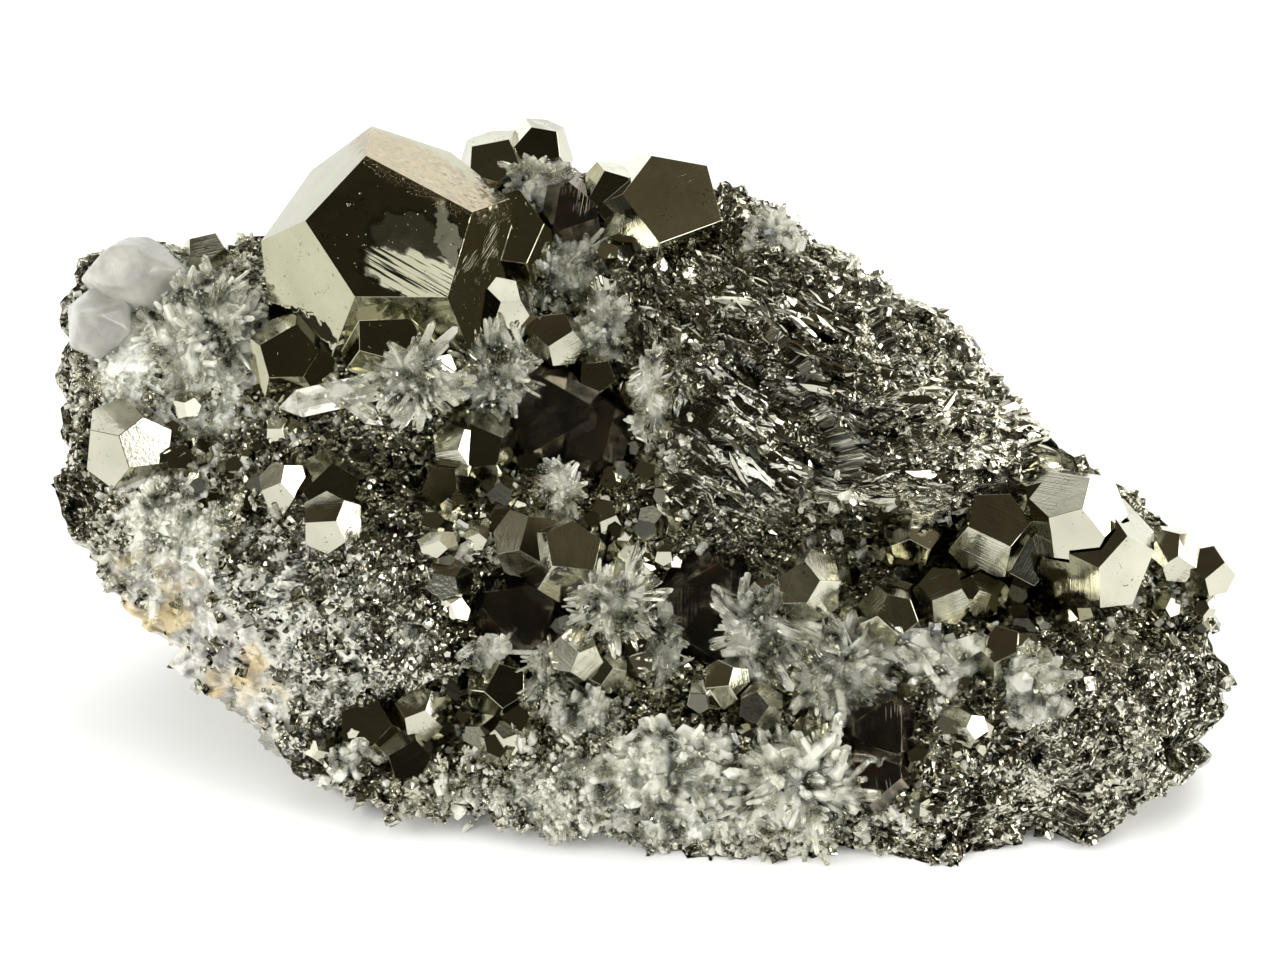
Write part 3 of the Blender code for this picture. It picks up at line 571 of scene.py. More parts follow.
def growth_map(mesh):
    """A UV map in millimetres: on each face, u runs along its longest edge and v across that,
    from a start of its own, so that growth lines follow the edges as they do on real pyrite."""
    corner = np.empty(len(mesh.loops), int)
    start = np.empty(len(mesh.polygons), int)
    total = np.empty(len(mesh.polygons), int)
    places = np.empty(len(mesh.vertices) * 3)
    normals = np.empty(len(mesh.polygons) * 3)
    mesh.loops.foreach_get("vertex_index", corner)
    mesh.polygons.foreach_get("loop_start", start)
    mesh.polygons.foreach_get("loop_total", total)
    mesh.vertices.foreach_get("co", places)
    mesh.polygons.foreach_get("normal", normals)
    face = np.repeat(np.arange(len(start)), total)
    after = np.arange(len(corner)) + 1
    after[start + total - 1] = start
    spots = places.reshape(-1, 3)[corner] / MM
    edges = spots[after] - spots
    longest = np.lexsort((np.linalg.norm(edges, axis=1), face))[start + total - 1]
    along = unit(edges[longest])[face]
    aside = np.cross(normals.reshape(-1, 3)[face], along)
    places_on_face = np.stack([(spots * along).sum(1), (spots * aside).sum(1)], 1) + 7.3 * face[:, None]
    mesh.uv_layers.new(name="growth").data.foreach_set("uv", places_on_face.ravel())


def crystal_piece(node, name, edge):
    """A CAD crystal's faces merged into flat ones, with its edges a little worn."""
    mesh = bmesh.new()
    mesh.from_mesh(bpy.data.objects[node].data)
    bmesh.ops.remove_doubles(mesh, verts=mesh.verts, dist=1e-6)
    bmesh.ops.dissolve_limit(mesh, angle_limit=np.radians(0.5), verts=mesh.verts, edges=mesh.edges)
    made = bpy.data.meshes.new(name)
    mesh.to_mesh(made)
    mesh.free()
    growth_map(made)
    piece = bpy.data.objects.new(name, made)
    bpy.context.scene.collection.objects.link(piece)
    places = np.array([v.co for v in made.vertices])
    add_attribute(piece, "seen", np.stack(seen_places(places), axis=-1), "FLOAT_VECTOR")
    worn = piece.modifiers.new("worn_edges", "BEVEL")
    worn.width = edge * MM
    worn.segments = 2
    worn.limit_method = "ANGLE"
    worn.angle_limit = np.radians(15)
    return piece


def solid_tree(*starts):
    """A search tree over the solids whose names start with any of these words."""
    points, faces = [], []
    for node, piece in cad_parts.items():
        if node.startswith(starts):
            first = len(points)
            points += [tuple(v.co) for v in piece.data.vertices]
            faces += [[first + k for k in f.vertices] for f in piece.data.polygons]
    return BVHTree.FromPolygons(points, faces)


def clear_of(tree, places, reach):
    """Which places lie outside the tree's solids by more than their reach, all in metres."""
    clear = []
    for place, far in zip(places, reach):
        spot, normal, _, distance = tree.find_nearest(Vector(place))
        clear.append((Vector(place) - spot).dot(normal) > 0 and distance > far)
    return np.array(clear)


def inside_box(places, reach):
    """Which places lie inside the solids' box by more than their reach, all in metres."""
    low, high = np.array(cad_box[0])[:2], np.array(cad_box[1])[:2]
    flat, reach = places[:, :2], np.reshape(reach, (-1, 1))
    return ((flat > low + reach) & (flat < high - reach)).all(1)


def skin_spots(skin, count, seed, weigh):
    """Random points of the skin's front, chosen by weight and strayed a little, with the skin's
    normals there."""
    rng = np.random.default_rng(seed)
    places = np.empty(len(skin.data.vertices) * 3)
    normals = np.empty_like(places)
    skin.data.vertices.foreach_get("co", places)
    skin.data.vertex_normals.foreach_get("vector", normals)
    places, normals = places.reshape(-1, 3), normals.reshape(-1, 3)
    across, up, out = seen_places(places)
    facing = normals @ world_directions(np.array([[0.0, 0.0, 1.0]]))[0]
    weight = np.clip(weigh(across, up), 0, 1) * np.clip(facing + 0.3, 0, 1)
    chosen = rng.choice(len(places), count, p=weight / weight.sum())
    stray = rng.normal(0, 0.2 * MM, (count, 3))
    stray -= (stray * normals[chosen]).sum(1)[:, None] * normals[chosen]
    return places[chosen] + stray, normals[chosen], rng


def rock_grains(skin, crystals):
    """Small broken pyrite grains on the rock: one cube copied to random places of the skin, each
    stretched and turned its own way and sunk to its middle."""

    def weigh(across, up):
        sugary = sum(region(across, up, place) for place in SUGARY_REGIONS)
        dome, sheets = region(across, up, STRIATED_DOME), region(across, up, DARK_SHEETS)
        return 1.0 - 0.55 * dome - 0.4 * sheets - 0.7 * sugary - 0.75 * region(across, up, GREY_ROCK)

    places, normals, rng = skin_spots(skin, GRAINS, 40, weigh)
    size = 0.3 + 1.1 * rng.random((len(places), 1)) ** 3
    sizes = size * rng.uniform(0.6, 1.4, (len(places), 3))
    keep = clear_of(crystals, places, 0.5 * size[:, 0] * MM) & inside_box(places, 0.9 * size * MM)
    ways = normals + rng.normal(0, 0.5, normals.shape)
    axes = axes_towards(ways, rng.uniform(0, 6, len(places)))
    corners, faces = block_template()
    points, made = copies(corners, faces, axes[keep], sizes[keep], places[keep] / MM)
    points[:, 2] = np.maximum(points[:, 2], LOWEST)
    return add_mesh("rock_grains", points * MM, made)


def small_crystals(skin, crystals):
    """Small pyrite crystals between the large ones: one pyritohedron copied to random places of
    the crystal bands, stretched a little, turned at random and sunk to near its middle."""

    def weigh(across, up):
        return sum(region(across, up, place) for place in CRYSTAL_BANDS)

    places, normals, rng = skin_spots(skin, SMALL_CRYSTALS, 43, weigh)
    size = 0.5 + 1.5 * rng.random((len(places), 1)) ** 2.2
    sizes = size * rng.uniform(0.8, 1.25, (len(places), 3))
    keep = clear_of(crystals, places, 0.35 * size[:, 0] * MM) & inside_box(places, 1.3 * size * MM)
    axes = axes_towards(rng.normal(0, 1, normals.shape), rng.uniform(0, 6, len(places)))
    corners, faces = pyritohedron_template()
    middles = places / MM + normals * size * 0.1
    points, made = copies(corners, faces, axes[keep], sizes[keep], middles[keep])
    points[:, 2] = np.maximum(points[:, 2], LOWEST)
    return add_mesh("small_crystals", points * MM, made)


def sugar_crust(skin, crystals):
    """The quartz crust: one tiny prism copied thousands of times over patches of the foot and the
    left side, standing about straight up from the skin, and fewer and longer between crystals."""

    def weigh(across, up):
        patches = broken_planes(np.stack([across, up, 0 * up], 1), 4.0, 12)
        crusts = sum(region(across, up, place) for place in SUGARY_REGIONS)
        between = sum(region(across, up, place) for place in CRYSTAL_BANDS)
        return (patches > -0.35) * crusts + (patches > 0.2) * 0.25 * between

    places, normals, rng = skin_spots(skin, SUGAR_PRISMS, 44, weigh)
    keep = clear_of(crystals, places, np.full(len(places), 0.2 * MM)) & inside_box(places, 1.4 * MM)
    axes = axes_towards(normals + rng.normal(0, 0.55, normals.shape), rng.uniform(0, 6, len(places)))
    across, up, out = seen_places(places)
    crusted = sum(region(across, up, place) for place in SUGARY_REGIONS) > 0.3
    long = np.where(crusted, 0.4, 0.8) + 0.9 * rng.random(len(places)) ** 2
    thick = long * rng.uniform(0.3, 0.6, len(places))
    prism, faces = needle_template()
    feet = places / MM - 0.15 * normals
    points, made = copies(prism, faces, axes[keep], np.stack([thick, thick, long], 1)[keep], feet[keep])
    points[:, 2] = np.maximum(points[:, 2], LOWEST)
    return add_mesh("sugar_crust", points * MM, made)


def streak_ways(places):
    """The way the dome's streaks run at each place, turned to the world."""
    turned = streak_turn(seen_places(places)[0])
    slope = STREAK_FALL + STREAK_RISE * (3 * turned**2 - 2 * turned**3)
    return world_directions(unit(np.stack([np.ones_like(slope), slope, np.zeros_like(slope)], 1)))


def dome_flakes(skin):
    """Shingled slivers on the striated dome: one leaf-shaped plate copied over it, long the way the
    dome's streaks run, each tipped a little about that way so that their edges catch light."""

    def weigh(across, up):
        clumps = broken_planes(np.stack([across, up, 0 * up], 1), 5.0, 14) + 0.4
        return clumps * (region(across, up, STRIATED_DOME) - 0.4 * region(across, up, DARK_SHEETS))

    places, normals, rng = skin_spots(skin, FLAKES, 41, weigh)
    flow = streak_ways(places) + rng.normal(0, 0.26, normals.shape)
    out = world_directions(np.array([[0.0, 0.0, 1.0]]))
    third = unit(normals + 0.6 * out + rng.normal(0, 0.2, normals.shape))
    first = unit(flow - (flow * third).sum(1)[:, None] * third)
    axes = np.stack([first, np.cross(third, first), third], axis=-1)
    long = 0.7 + 4.0 * rng.random(len(places)) ** 3
    wide = 0.12 + long * rng.uniform(0.1, 0.26, len(long))
    sizes = np.stack([long, wide, rng.uniform(0.08, 0.26, len(long))], 1)
    corners, faces = leaf_template()
    points, made = copies(corners, faces, axes, sizes, places / MM)
    return add_mesh("dome_flakes", points * MM, made)


def block_template():
    """A cube one on a side about the origin, and its twelve triangles."""
    points = np.array([(i, j, k) for i in (-0.5, 0.5) for j in (-0.5, 0.5) for k in (-0.5, 0.5)])
    quads = np.array([[0, 1, 3, 2], [4, 6, 7, 5], [0, 4, 5, 1], [2, 3, 7, 6], [0, 2, 6, 4], [1, 5, 7, 3]])
    return points, split_quads(quads)


def leaf_template():
    """A plate one long with pointed ends: a flattened lozenge, raised along a line off its middle."""
    turn = np.arange(6) * np.pi / 3
    ring = np.stack([np.cos(turn) / 2, np.sin(turn) / 2 * 1.1, np.zeros(6)], 1)
    points = np.concatenate([ring, [[-0.2, 0.1, 0.5], [0.22, 0.0, 0.5], [0.0, 0.0, -0.5]]])
    faces = [[2, 3, 6], [3, 4, 6], [1, 2, 6], [1, 6, 7], [0, 1, 7], [5, 0, 7], [4, 5, 7], [4, 7, 6]]
    under = [[(k + 1) % 6, k, 8] for k in range(6)]
    return points, np.array(faces + under)


def add_node(tree, kind, inputs=(), output=0, stops=(), **settings):
    """Adds a shader node with its settings, its inputs as values or links and the stops of its
    colour ramp, and gives one of its outputs."""
    node = tree.nodes.new("ShaderNode" + kind)
    for key, value in settings.items():
        setattr(node, key, value)
    for key, value in dict(inputs).items():
        if isinstance(value, bpy.types.NodeSocket):
            tree.links.new(value, node.inputs[key])
        else:
            node.inputs[key].default_value = value
    for number, (position, colour) in enumerate(stops):
        elements = node.color_ramp.elements
        element = elements[number] if number < 2 else elements.new(position)
        element.position = position
        element.color = linear(colour)
    return node.outputs[output]


def new_material(name):
    """An empty material and its node tree."""
    material = bpy.data.materials.new(name)
    material.use_nodes = True
    tree = material.node_tree
    tree.nodes.clear()
    return material, tree


def finish_material(tree, shader):
    """Leads a finished shader to the material's surface."""
    output = tree.nodes.new("ShaderNodeOutputMaterial")
    tree.links.new(shader, output.inputs["Surface"])


def object_places(tree):
    """Object coordinates in millimetres, so that a pattern's scale is one over its size."""
    source = add_node(tree, "TexCoord", output="Object")
    return add_node(tree, "Mapping", {"Vector": source, "Scale": (1 / MM, 1 / MM, 1 / MM)})


def facets(tree, places, cell):
    """Small flat facets: in each cell around a random point, a plane with its own tilt. Gives their
    height, and a colour that differs from cell to cell."""
    middle = add_node(tree, "TexVoronoi", {"Vector": places, "Scale": 1 / cell}, "Position")
    tone = middle.node.outputs["Color"]
    apart = add_node(tree, "VectorMath", {0: places, 1: middle}, operation="SUBTRACT")
    slope = add_node(tree, "VectorMath", {0: tone, 1: (0.5, 0.5, 0.5)}, operation="SUBTRACT")
    return add_node(tree, "VectorMath", {0: apart, 1: slope}, "Value", operation="DOT_PRODUCT"), tone


def patch(tree, places, place):
    """One inside a turned ellipse (across, up, half width, half height, turn), nothing outside."""
    across, up, wide, high, turn = place
    inside = add_node(
        tree, "Mapping",
        {
            "Vector": places, "Location": (across, up, 0.0), "Rotation": (0.0, 0.0, np.radians(turn)),
            "Scale": (wide, high, 1000.0),
        },
        vector_type="TEXTURE",
    )
    away = add_node(tree, "VectorMath", {0: inside}, "Value", operation="LENGTH")
    return add_node(tree, "MapRange", {0: away, 1: 1.1, 2: 0.8, 3: 0.0, 4: 1.0})


def world_way(seen_way):
    """A way given as across, up and out, as a shader's world vector."""
    return tuple(world_directions(np.array([seen_way]))[0].tolist())


def looking(tree, seen_way):
    """One on faces that look a given way, nothing on faces turned more than about 25 degrees off."""
    normal = add_node(tree, "NewGeometry", output="Normal")
    way = world_way(unit(np.array(seen_way)).tolist())
    share = add_node(tree, "VectorMath", {0: normal, 1: way}, "Value", operation="DOT_PRODUCT")
    return add_node(tree, "MapRange", {0: share, 1: 0.9, 2: 0.94, 3: 0.0, 4: 1.0})


def specks(tree):
    """Small specks of dirt and dull spots, a quarter of a millimetre across, in loose swarms."""
    places = object_places(tree)
    spots = add_node(tree, "TexNoise", {"Vector": places, "Scale": 3.4, "Detail": 1.0})
    swarm = add_node(tree, "TexNoise", {"Vector": places, "Scale": 0.5, "Detail": 1.0})
    both = add_node(tree, "Math", {0: swarm, 1: 0.5, 2: spots}, operation="MULTIPLY_ADD")
    return add_node(tree, "MapRange", {0: both, 1: 0.98, 2: 1.04, 3: 0.0, 4: 0.7})


def growth_lines(tree):
    """Fine lines along each face's longest edge that come and go, as heights from 0 to 1."""
    places = object_places(tree)
    on_face = add_node(tree, "UVMap", uv_map="growth")
    drawn = add_node(tree, "Mapping", {"Vector": on_face, "Scale": (0.07, 5.0, 1.0)})
    lines = add_node(tree, "TexNoise", {"Vector": drawn, "Scale": 1.0, "Detail": 3.0, "Roughness": 0.7})
    cloud = add_node(tree, "TexNoise", {"Vector": places, "Scale": 0.22, "Detail": 2.0})
    there = add_node(tree, "ValToRGB", {0: cloud}, stops=[(0.46, "#000000"), (0.6, "#ffffff")])
    return add_node(tree, "Math", {0: lines, 1: there}, operation="MULTIPLY")


def grown_pyrite():
    """Pyrite crystal faces as they grew: mirror-bright pale brass, with fine growth lines that
    come and go, so that a face shows one even reflection broken by streaks. The lines are 0.2 mm
    apart, the pits 0.4 mm across and the clouds of tarnish 5 mm."""
    material, tree = new_material("grown_pyrite")
    places = object_places(tree)
    normal = add_node(tree, "Bump", {"Height": growth_lines(tree), "Distance": 0.024 * MM})
    pits = add_node(tree, "TexNoise", {"Vector": places, "Scale": 2.6, "Detail": 2.0})
    normal = add_node(tree, "Bump", {"Height": pits, "Distance": 0.008 * MM, "Normal": normal})
    cloud = add_node(tree, "TexNoise", {"Vector": places, "Scale": 0.2, "Detail": 3.0})
    colour = add_node(tree, "ValToRGB", {0: cloud}, stops=[(0.3, "#b4b2a0"), (0.7, "#c8c6b4")])
    colour = add_node(tree, "Mix", {0: specks(tree), 6: colour, 7: linear("#4b463a")}, 2, data_type="RGBA")
    roughness = add_node(tree, "Math", {0: pits, 1: 0.1, 2: 0.03}, operation="MULTIPLY_ADD")
    shader = add_node(
        tree, "BsdfPrincipled",
        {"Base Color": colour, "Metallic": 1.0, "Roughness": roughness, "Normal": normal},
    )
    finish_material(tree, shader)
    return material


def great_streaks(tree, places):
    """Where each point is seen, strayed by about 1 mm so that no mark has a clean rim, and coarse
    growth steps a quarter of a millimetre wide and 9 mm long."""
    seen = add_node(tree, "Attribute", attribute_name="seen", output="Vector")
    drawn = add_node(
        tree, "Mapping",
        {"Vector": seen, "Rotation": (0.0, 0.0, np.radians(STREAK_LEAN)), "Scale": (9.0, 0.26, 1000.0)},
        vector_type="TEXTURE",
    )
    steps = add_node(tree, "TexNoise", {"Vector": drawn, "Scale": 1.0, "Detail": 2.0})
    steps = add_node(tree, "MapRange", {0: steps, 1: 0.36, 2: 0.46, 3: 0.0, 4: 1.0})
    wobble = add_node(tree, "TexNoise", {"Vector": places, "Scale": 0.7, "Detail": 3.0}, "Color")
    wobble = add_node(tree, "VectorMath", {0: wobble, 1: (0.5, 0.5, 0.5)}, operation="SUBTRACT")
    strayed = add_node(tree, "VectorMath", {0: wobble, 1: (2.4, 2.4, 2.4), 2: seen}, operation="MULTIPLY_ADD")
    return strayed, steps


def great_way(tree, strayed, streaks):
    """The way the great crystal's faces look: the left one towards the table, the right one to the
    dark room, and its streaks and bright foot to the bright table on the right. The rubbed band
    and the haze look part of the way there."""
    front, left = looking(tree, FRONT_FACE_WAY), looking(tree, LEFT_FACE_WAY)
    streaked = patch(tree, strayed, STREAKED_PATCH)
    streaked = add_node(tree, "Math", {0: streaked, 1: streaks}, operation="MULTIPLY")
    rubbed = add_node(tree, "Math", {0: patch(tree, strayed, RUBBED_BAND), 1: 0.6}, operation="MULTIPLY")
    bright = add_node(tree, "Math", {0: streaked, 1: rubbed}, operation="MAXIMUM")
    hazy = add_node(tree, "Math", {0: patch(tree, strayed, HAZE), 1: 0.5}, operation="MULTIPLY")
    bright = add_node(tree, "Math", {0: bright, 1: hazy}, operation="MAXIMUM")
    bright = add_node(tree, "Math", {0: bright, 1: front}, operation="MULTIPLY")
    foot = add_node(tree, "Math", {0: patch(tree, strayed, BRIGHT_FOOT), 1: left}, operation="MULTIPLY")
    bright = add_node(tree, "Math", {0: bright, 1: foot}, operation="MAXIMUM")
    even = add_node(tree, "Math", {0: left, 1: 0.8}, operation="MULTIPLY")
    shaded = add_node(tree, "Math", {0: looking(tree, RIGHT_FACE_WAY), 1: 0.85}, operation="MULTIPLY")
    way = add_node(tree, "NewGeometry", output="Normal")
    for share, aim in [(even, TABLE_WAY), (shaded, FRONT_FACE_WAY), (bright, BRIGHT_WAY)]:
        way = add_node(tree, "Mix", {0: share, 4: way, 5: world_way(aim)}, 1, data_type="VECTOR")
    return add_node(tree, "VectorMath", {0: way}, operation="NORMALIZE")


def great_pyrite():
    """The great crystal's faces: pyrite with a patch of coarse growth steps that face the light,
    a rubbed band, a pitted strip and scattered pits half a millimetre across, so that its dark
    face is never empty. Clouds of tarnish are 6 mm across."""
    material, tree = new_material("great_pyrite")
    places = object_places(tree)
    strayed, streaks = great_streaks(tree, places)
    way = great_way(tree, strayed, streaks)
    normal = add_node(tree, "Bump", {"Height": growth_lines(tree), "Distance": 0.02 * MM, "Normal": way})
    pits = add_node(tree, "TexNoise", {"Vector": places, "Scale": 1.8, "Detail": 3.0, "Roughness": 0.6})
    holes = add_node(tree, "MapRange", {0: pits, 1: 0.69, 2: 0.74, 3: 0.0, 4: 1.0})
    normal = add_node(tree, "Bump", {"Height": holes, "Distance": -0.05 * MM, "Normal": normal})
    strip = patch(tree, strayed, PITTED_STRIP)
    grain, _ = facets(tree, places, 0.5)
    grain = add_node(tree, "Math", {0: grain, 1: strip}, operation="MULTIPLY")
    normal = add_node(tree, "Bump", {"Height": grain, "Distance": 0.16 * MM, "Normal": normal})
    cloud = add_node(tree, "TexNoise", {"Vector": places, "Scale": 0.16, "Detail": 4.0})
    colour = add_node(tree, "ValToRGB", {0: cloud}, stops=[(0.35, "#a6a48c"), (0.65, "#b1af98")])
    colour = add_node(tree, "Mix", {0: specks(tree), 6: colour, 7: linear("#4b463a")}, 2, data_type="RGBA")
    colour = add_node(tree, "Mix", {0: strip, 6: colour, 7: linear("#a99d80")}, 2, data_type="RGBA")
    rough = add_node(tree, "Math", {0: strip, 1: 0.2, 2: 0.06}, operation="MULTIPLY_ADD")
    shader = add_node(
        tree, "BsdfPrincipled",
        {"Base Color": colour, "Metallic": 1.0, "Roughness": rough, "Normal": normal},
    )
    finish_material(tree, shader)
    return material


def broken_height(tree, places, along, marks):
    """The height of the rock's broken faces and a tone that differs from one to the next: grains of
    1 and 0.4 mm, and on the dome plates 0.6 mm across its streaks with finer lines between."""
    big, _ = facets(tree, places, 1.0)
    small, small_tone = facets(tree, places, 0.4)
    streak, streak_tone = facets(tree, along, 0.6)
    lines = add_node(tree, "TexNoise", {"Vector": along, "Scale": 2.2, "Detail": 2.0, "Roughness": 0.6})
    small = add_node(tree, "Math", {0: small, 1: 0.8}, operation="MULTIPLY")
    granular = add_node(tree, "Math", {0: big, 1: 0.8, 2: small}, operation="MULTIPLY_ADD")
    lines = add_node(tree, "Math", {0: lines, 1: 0.35}, operation="MULTIPLY")
    drawn = add_node(tree, "Math", {0: streak, 1: 0.9, 2: lines}, operation="MULTIPLY_ADD")
    height = add_node(tree, "Mix", {0: marks["striated"], 2: granular, 3: drawn})
    tone = add_node(tree, "Mix", {0: marks["striated"], 6: small_tone, 7: streak_tone}, 2, data_type="RGBA")
    return height, add_node(tree, "SeparateColor", {0: tone})


def satin_sheets(tree, swayed, marks):
    """Pale sheets 6 mm long that lean to the table, on the front and off the dark sheets."""
    sheets = add_node(tree, "TexNoise", {"Vector": swayed, "Scale": 0.16, "Detail": 2.0})
    sheets = add_node(tree, "MapRange", {0: sheets, 1: 0.53, 2: 0.6, 3: 0.0, 4: 0.75})
    sheets = add_node(tree, "Math", {0: sheets, 1: marks["off_sheets"]}, operation="MULTIPLY")
    return add_node(tree, "Math", {0: sheets, 1: marks["fore"]}, operation="MULTIPLY")


def calm_places(tree, places, satin, marks):
    """Where the rock is smooth: the dark sheets, the dome's satin ones and clouds of 3 mm."""
    calm = add_node(tree, "TexNoise", {"Vector": places, "Scale": 0.3, "Detail": 2.0, "Roughness": 0.6})
    calm = add_node(tree, "MapRange", {0: calm, 1: 0.5, 2: 0.62, 3: 0.0, 4: 0.75})
    calm = add_node(
        tree, "Math", {0: marks["sheets"], 1: 0.85, 2: calm}, operation="MULTIPLY_ADD", use_clamp=True
    )
    on_dome = add_node(tree, "Math", {0: satin, 1: marks["striated"]}, operation="MULTIPLY")
    return add_node(tree, "Math", {0: calm, 1: on_dome}, operation="MAXIMUM")


def painted_glint_slivers(tree, along, marks):
    """Slivers 1.3 mm across the streaks and several times that along them, on the dark sheets: the
    places of the rock's painted glints.
    """
    glint_slivers = add_node(tree, "TexNoise", {"Vector": along, "Scale": 0.75, "Detail": 2.0, "Roughness": 0.6})
    glint_slivers = add_node(tree, "MapRange", {0: glint_slivers, 1: 0.53, 2: 0.555, 3: 0.0, 4: 1.0})
    return add_node(tree, "Math", {0: glint_slivers, 1: marks["sheets"]}, operation="MULTIPLY")


def rock_way(tree, satin, glint_slivers, marks):
    """The way the rock's faces look: the side that mirrors the table and the satin sheets towards the
    table, the dark sheets to the front and their slivers to the bright table on the right."""
    way = add_node(tree, "NewGeometry", output="Normal")
    leant = add_node(tree, "Math", {0: marks["table_sheen"], 1: 0.95}, operation="MULTIPLY")
    leant = add_node(tree, "Math", {0: leant, 1: satin}, operation="MAXIMUM")
    flat = add_node(tree, "Math", {0: marks["sheets"], 1: 0.7}, operation="MULTIPLY")
    for share, aim in [(leant, TABLE_WAY), (flat, FRONT_FACE_WAY), (glint_slivers, BRIGHT_WAY)]:
        way = add_node(tree, "Mix", {0: share, 4: way, 5: world_way(aim)}, 1, data_type="VECTOR")
    return add_node(tree, "VectorMath", {0: way}, operation="NORMALIZE")


def rock_metal(tree, places, tone, glint_slivers, marks):
    """Pyrite's colour from tarnish to fresh, in clouds of 5 mm: painted shade, with some tarnish, in
    hollows, and a painted highlight of near white on the side that mirrors the table and on the slivers."""
    cloud = add_node(tree, "TexNoise", {"Vector": places, "Scale": 0.2, "Detail": 2.0})
    cloud = add_node(tree, "Math", {0: cloud, 1: 0.4}, operation="SUBTRACT")
    tone = add_node(tree, "Math", {0: tone, 1: cloud}, operation="ADD")
    metal = add_node(
        tree, "ValToRGB", {0: tone},
        stops=[(0.08, "#47443c"), (0.28, "#838070"), (0.5, "#b9b6a4"), (0.9, "#d5d3c3")],
    )
    # Painted shade, with some tarnish: hollows mixed towards dark brown.
    shade = add_node(tree, "Math", {0: marks["hollow"], 1: 0.7}, operation="MULTIPLY")
    metal = add_node(tree, "Mix", {0: shade, 6: metal, 7: linear("#3b3930")}, 2, data_type="RGBA")
    # Painted highlight: on the side that mirrors the table and on the slivers the colour is made near white.
    lit = add_node(tree, "Math", {0: marks["table_sheen"], 1: 0.9}, operation="MULTIPLY")
    lit = add_node(tree, "Math", {0: lit, 1: glint_slivers}, operation="MAXIMUM")
    return add_node(tree, "Mix", {0: lit, 6: metal, 7: linear("#e8e7da")}, 2, data_type="RGBA")


def rock_patches(tree, places, marks):
    """The rock between the metal: patches of quartz sugar about 1.6 mm across, and grey rock in
    patches of 2.4 mm with rust stains of 4 mm. Gives where they are and their colour."""
    sugar = add_node(tree, "TexNoise", {"Vector": places, "Scale": 0.62, "Detail": 2.0})
    sugar = add_node(tree, "Math", {0: sugar, 1: 0.22}, operation="ADD")
    sugar = add_node(tree, "Math", {0: sugar, 1: marks["sugary"]}, operation="MULTIPLY")
    sugar = add_node(tree, "MapRange", {0: sugar, 1: 0.44, 2: 0.58, 3: 0.0, 4: 1.0})
    stone = add_node(tree, "TexNoise", {"Vector": places, "Scale": 0.42, "Detail": 2.0})
    stone = add_node(tree, "Math", {0: stone, 1: 0.3}, operation="ADD")
    stone = add_node(tree, "Math", {0: stone, 1: marks["grey"]}, operation="MULTIPLY")
    stone = add_node(tree, "MapRange", {0: stone, 1: 0.45, 2: 0.62, 3: 0.0, 4: 1.0})
    mottle = add_node(tree, "TexNoise", {"Vector": places, "Scale": 0.8, "Detail": 2.0})
    grey = add_node(
        tree, "ValToRGB", {0: mottle}, stops=[(0.35, "#87857f"), (0.52, "#b5b3a8"), (0.68, "#dad8cf")]
    )
    stain = add_node(tree, "TexNoise", {"Vector": places, "Scale": 0.24, "Detail": 2.0})
    stain = add_node(tree, "MapRange", {0: stain, 1: 0.5, 2: 0.66, 3: 0.0, 4: 0.8})
    grey = add_node(tree, "Mix", {0: stain, 6: grey, 7: linear("#cdb887")}, 2, data_type="RGBA")
    pale = add_node(tree, "Mix", {0: stone, 6: linear("#d6d6cc"), 7: grey}, 2, data_type="RGBA")
    return add_node(tree, "Math", {0: sugar, 1: stone}, operation="MAXIMUM"), pale


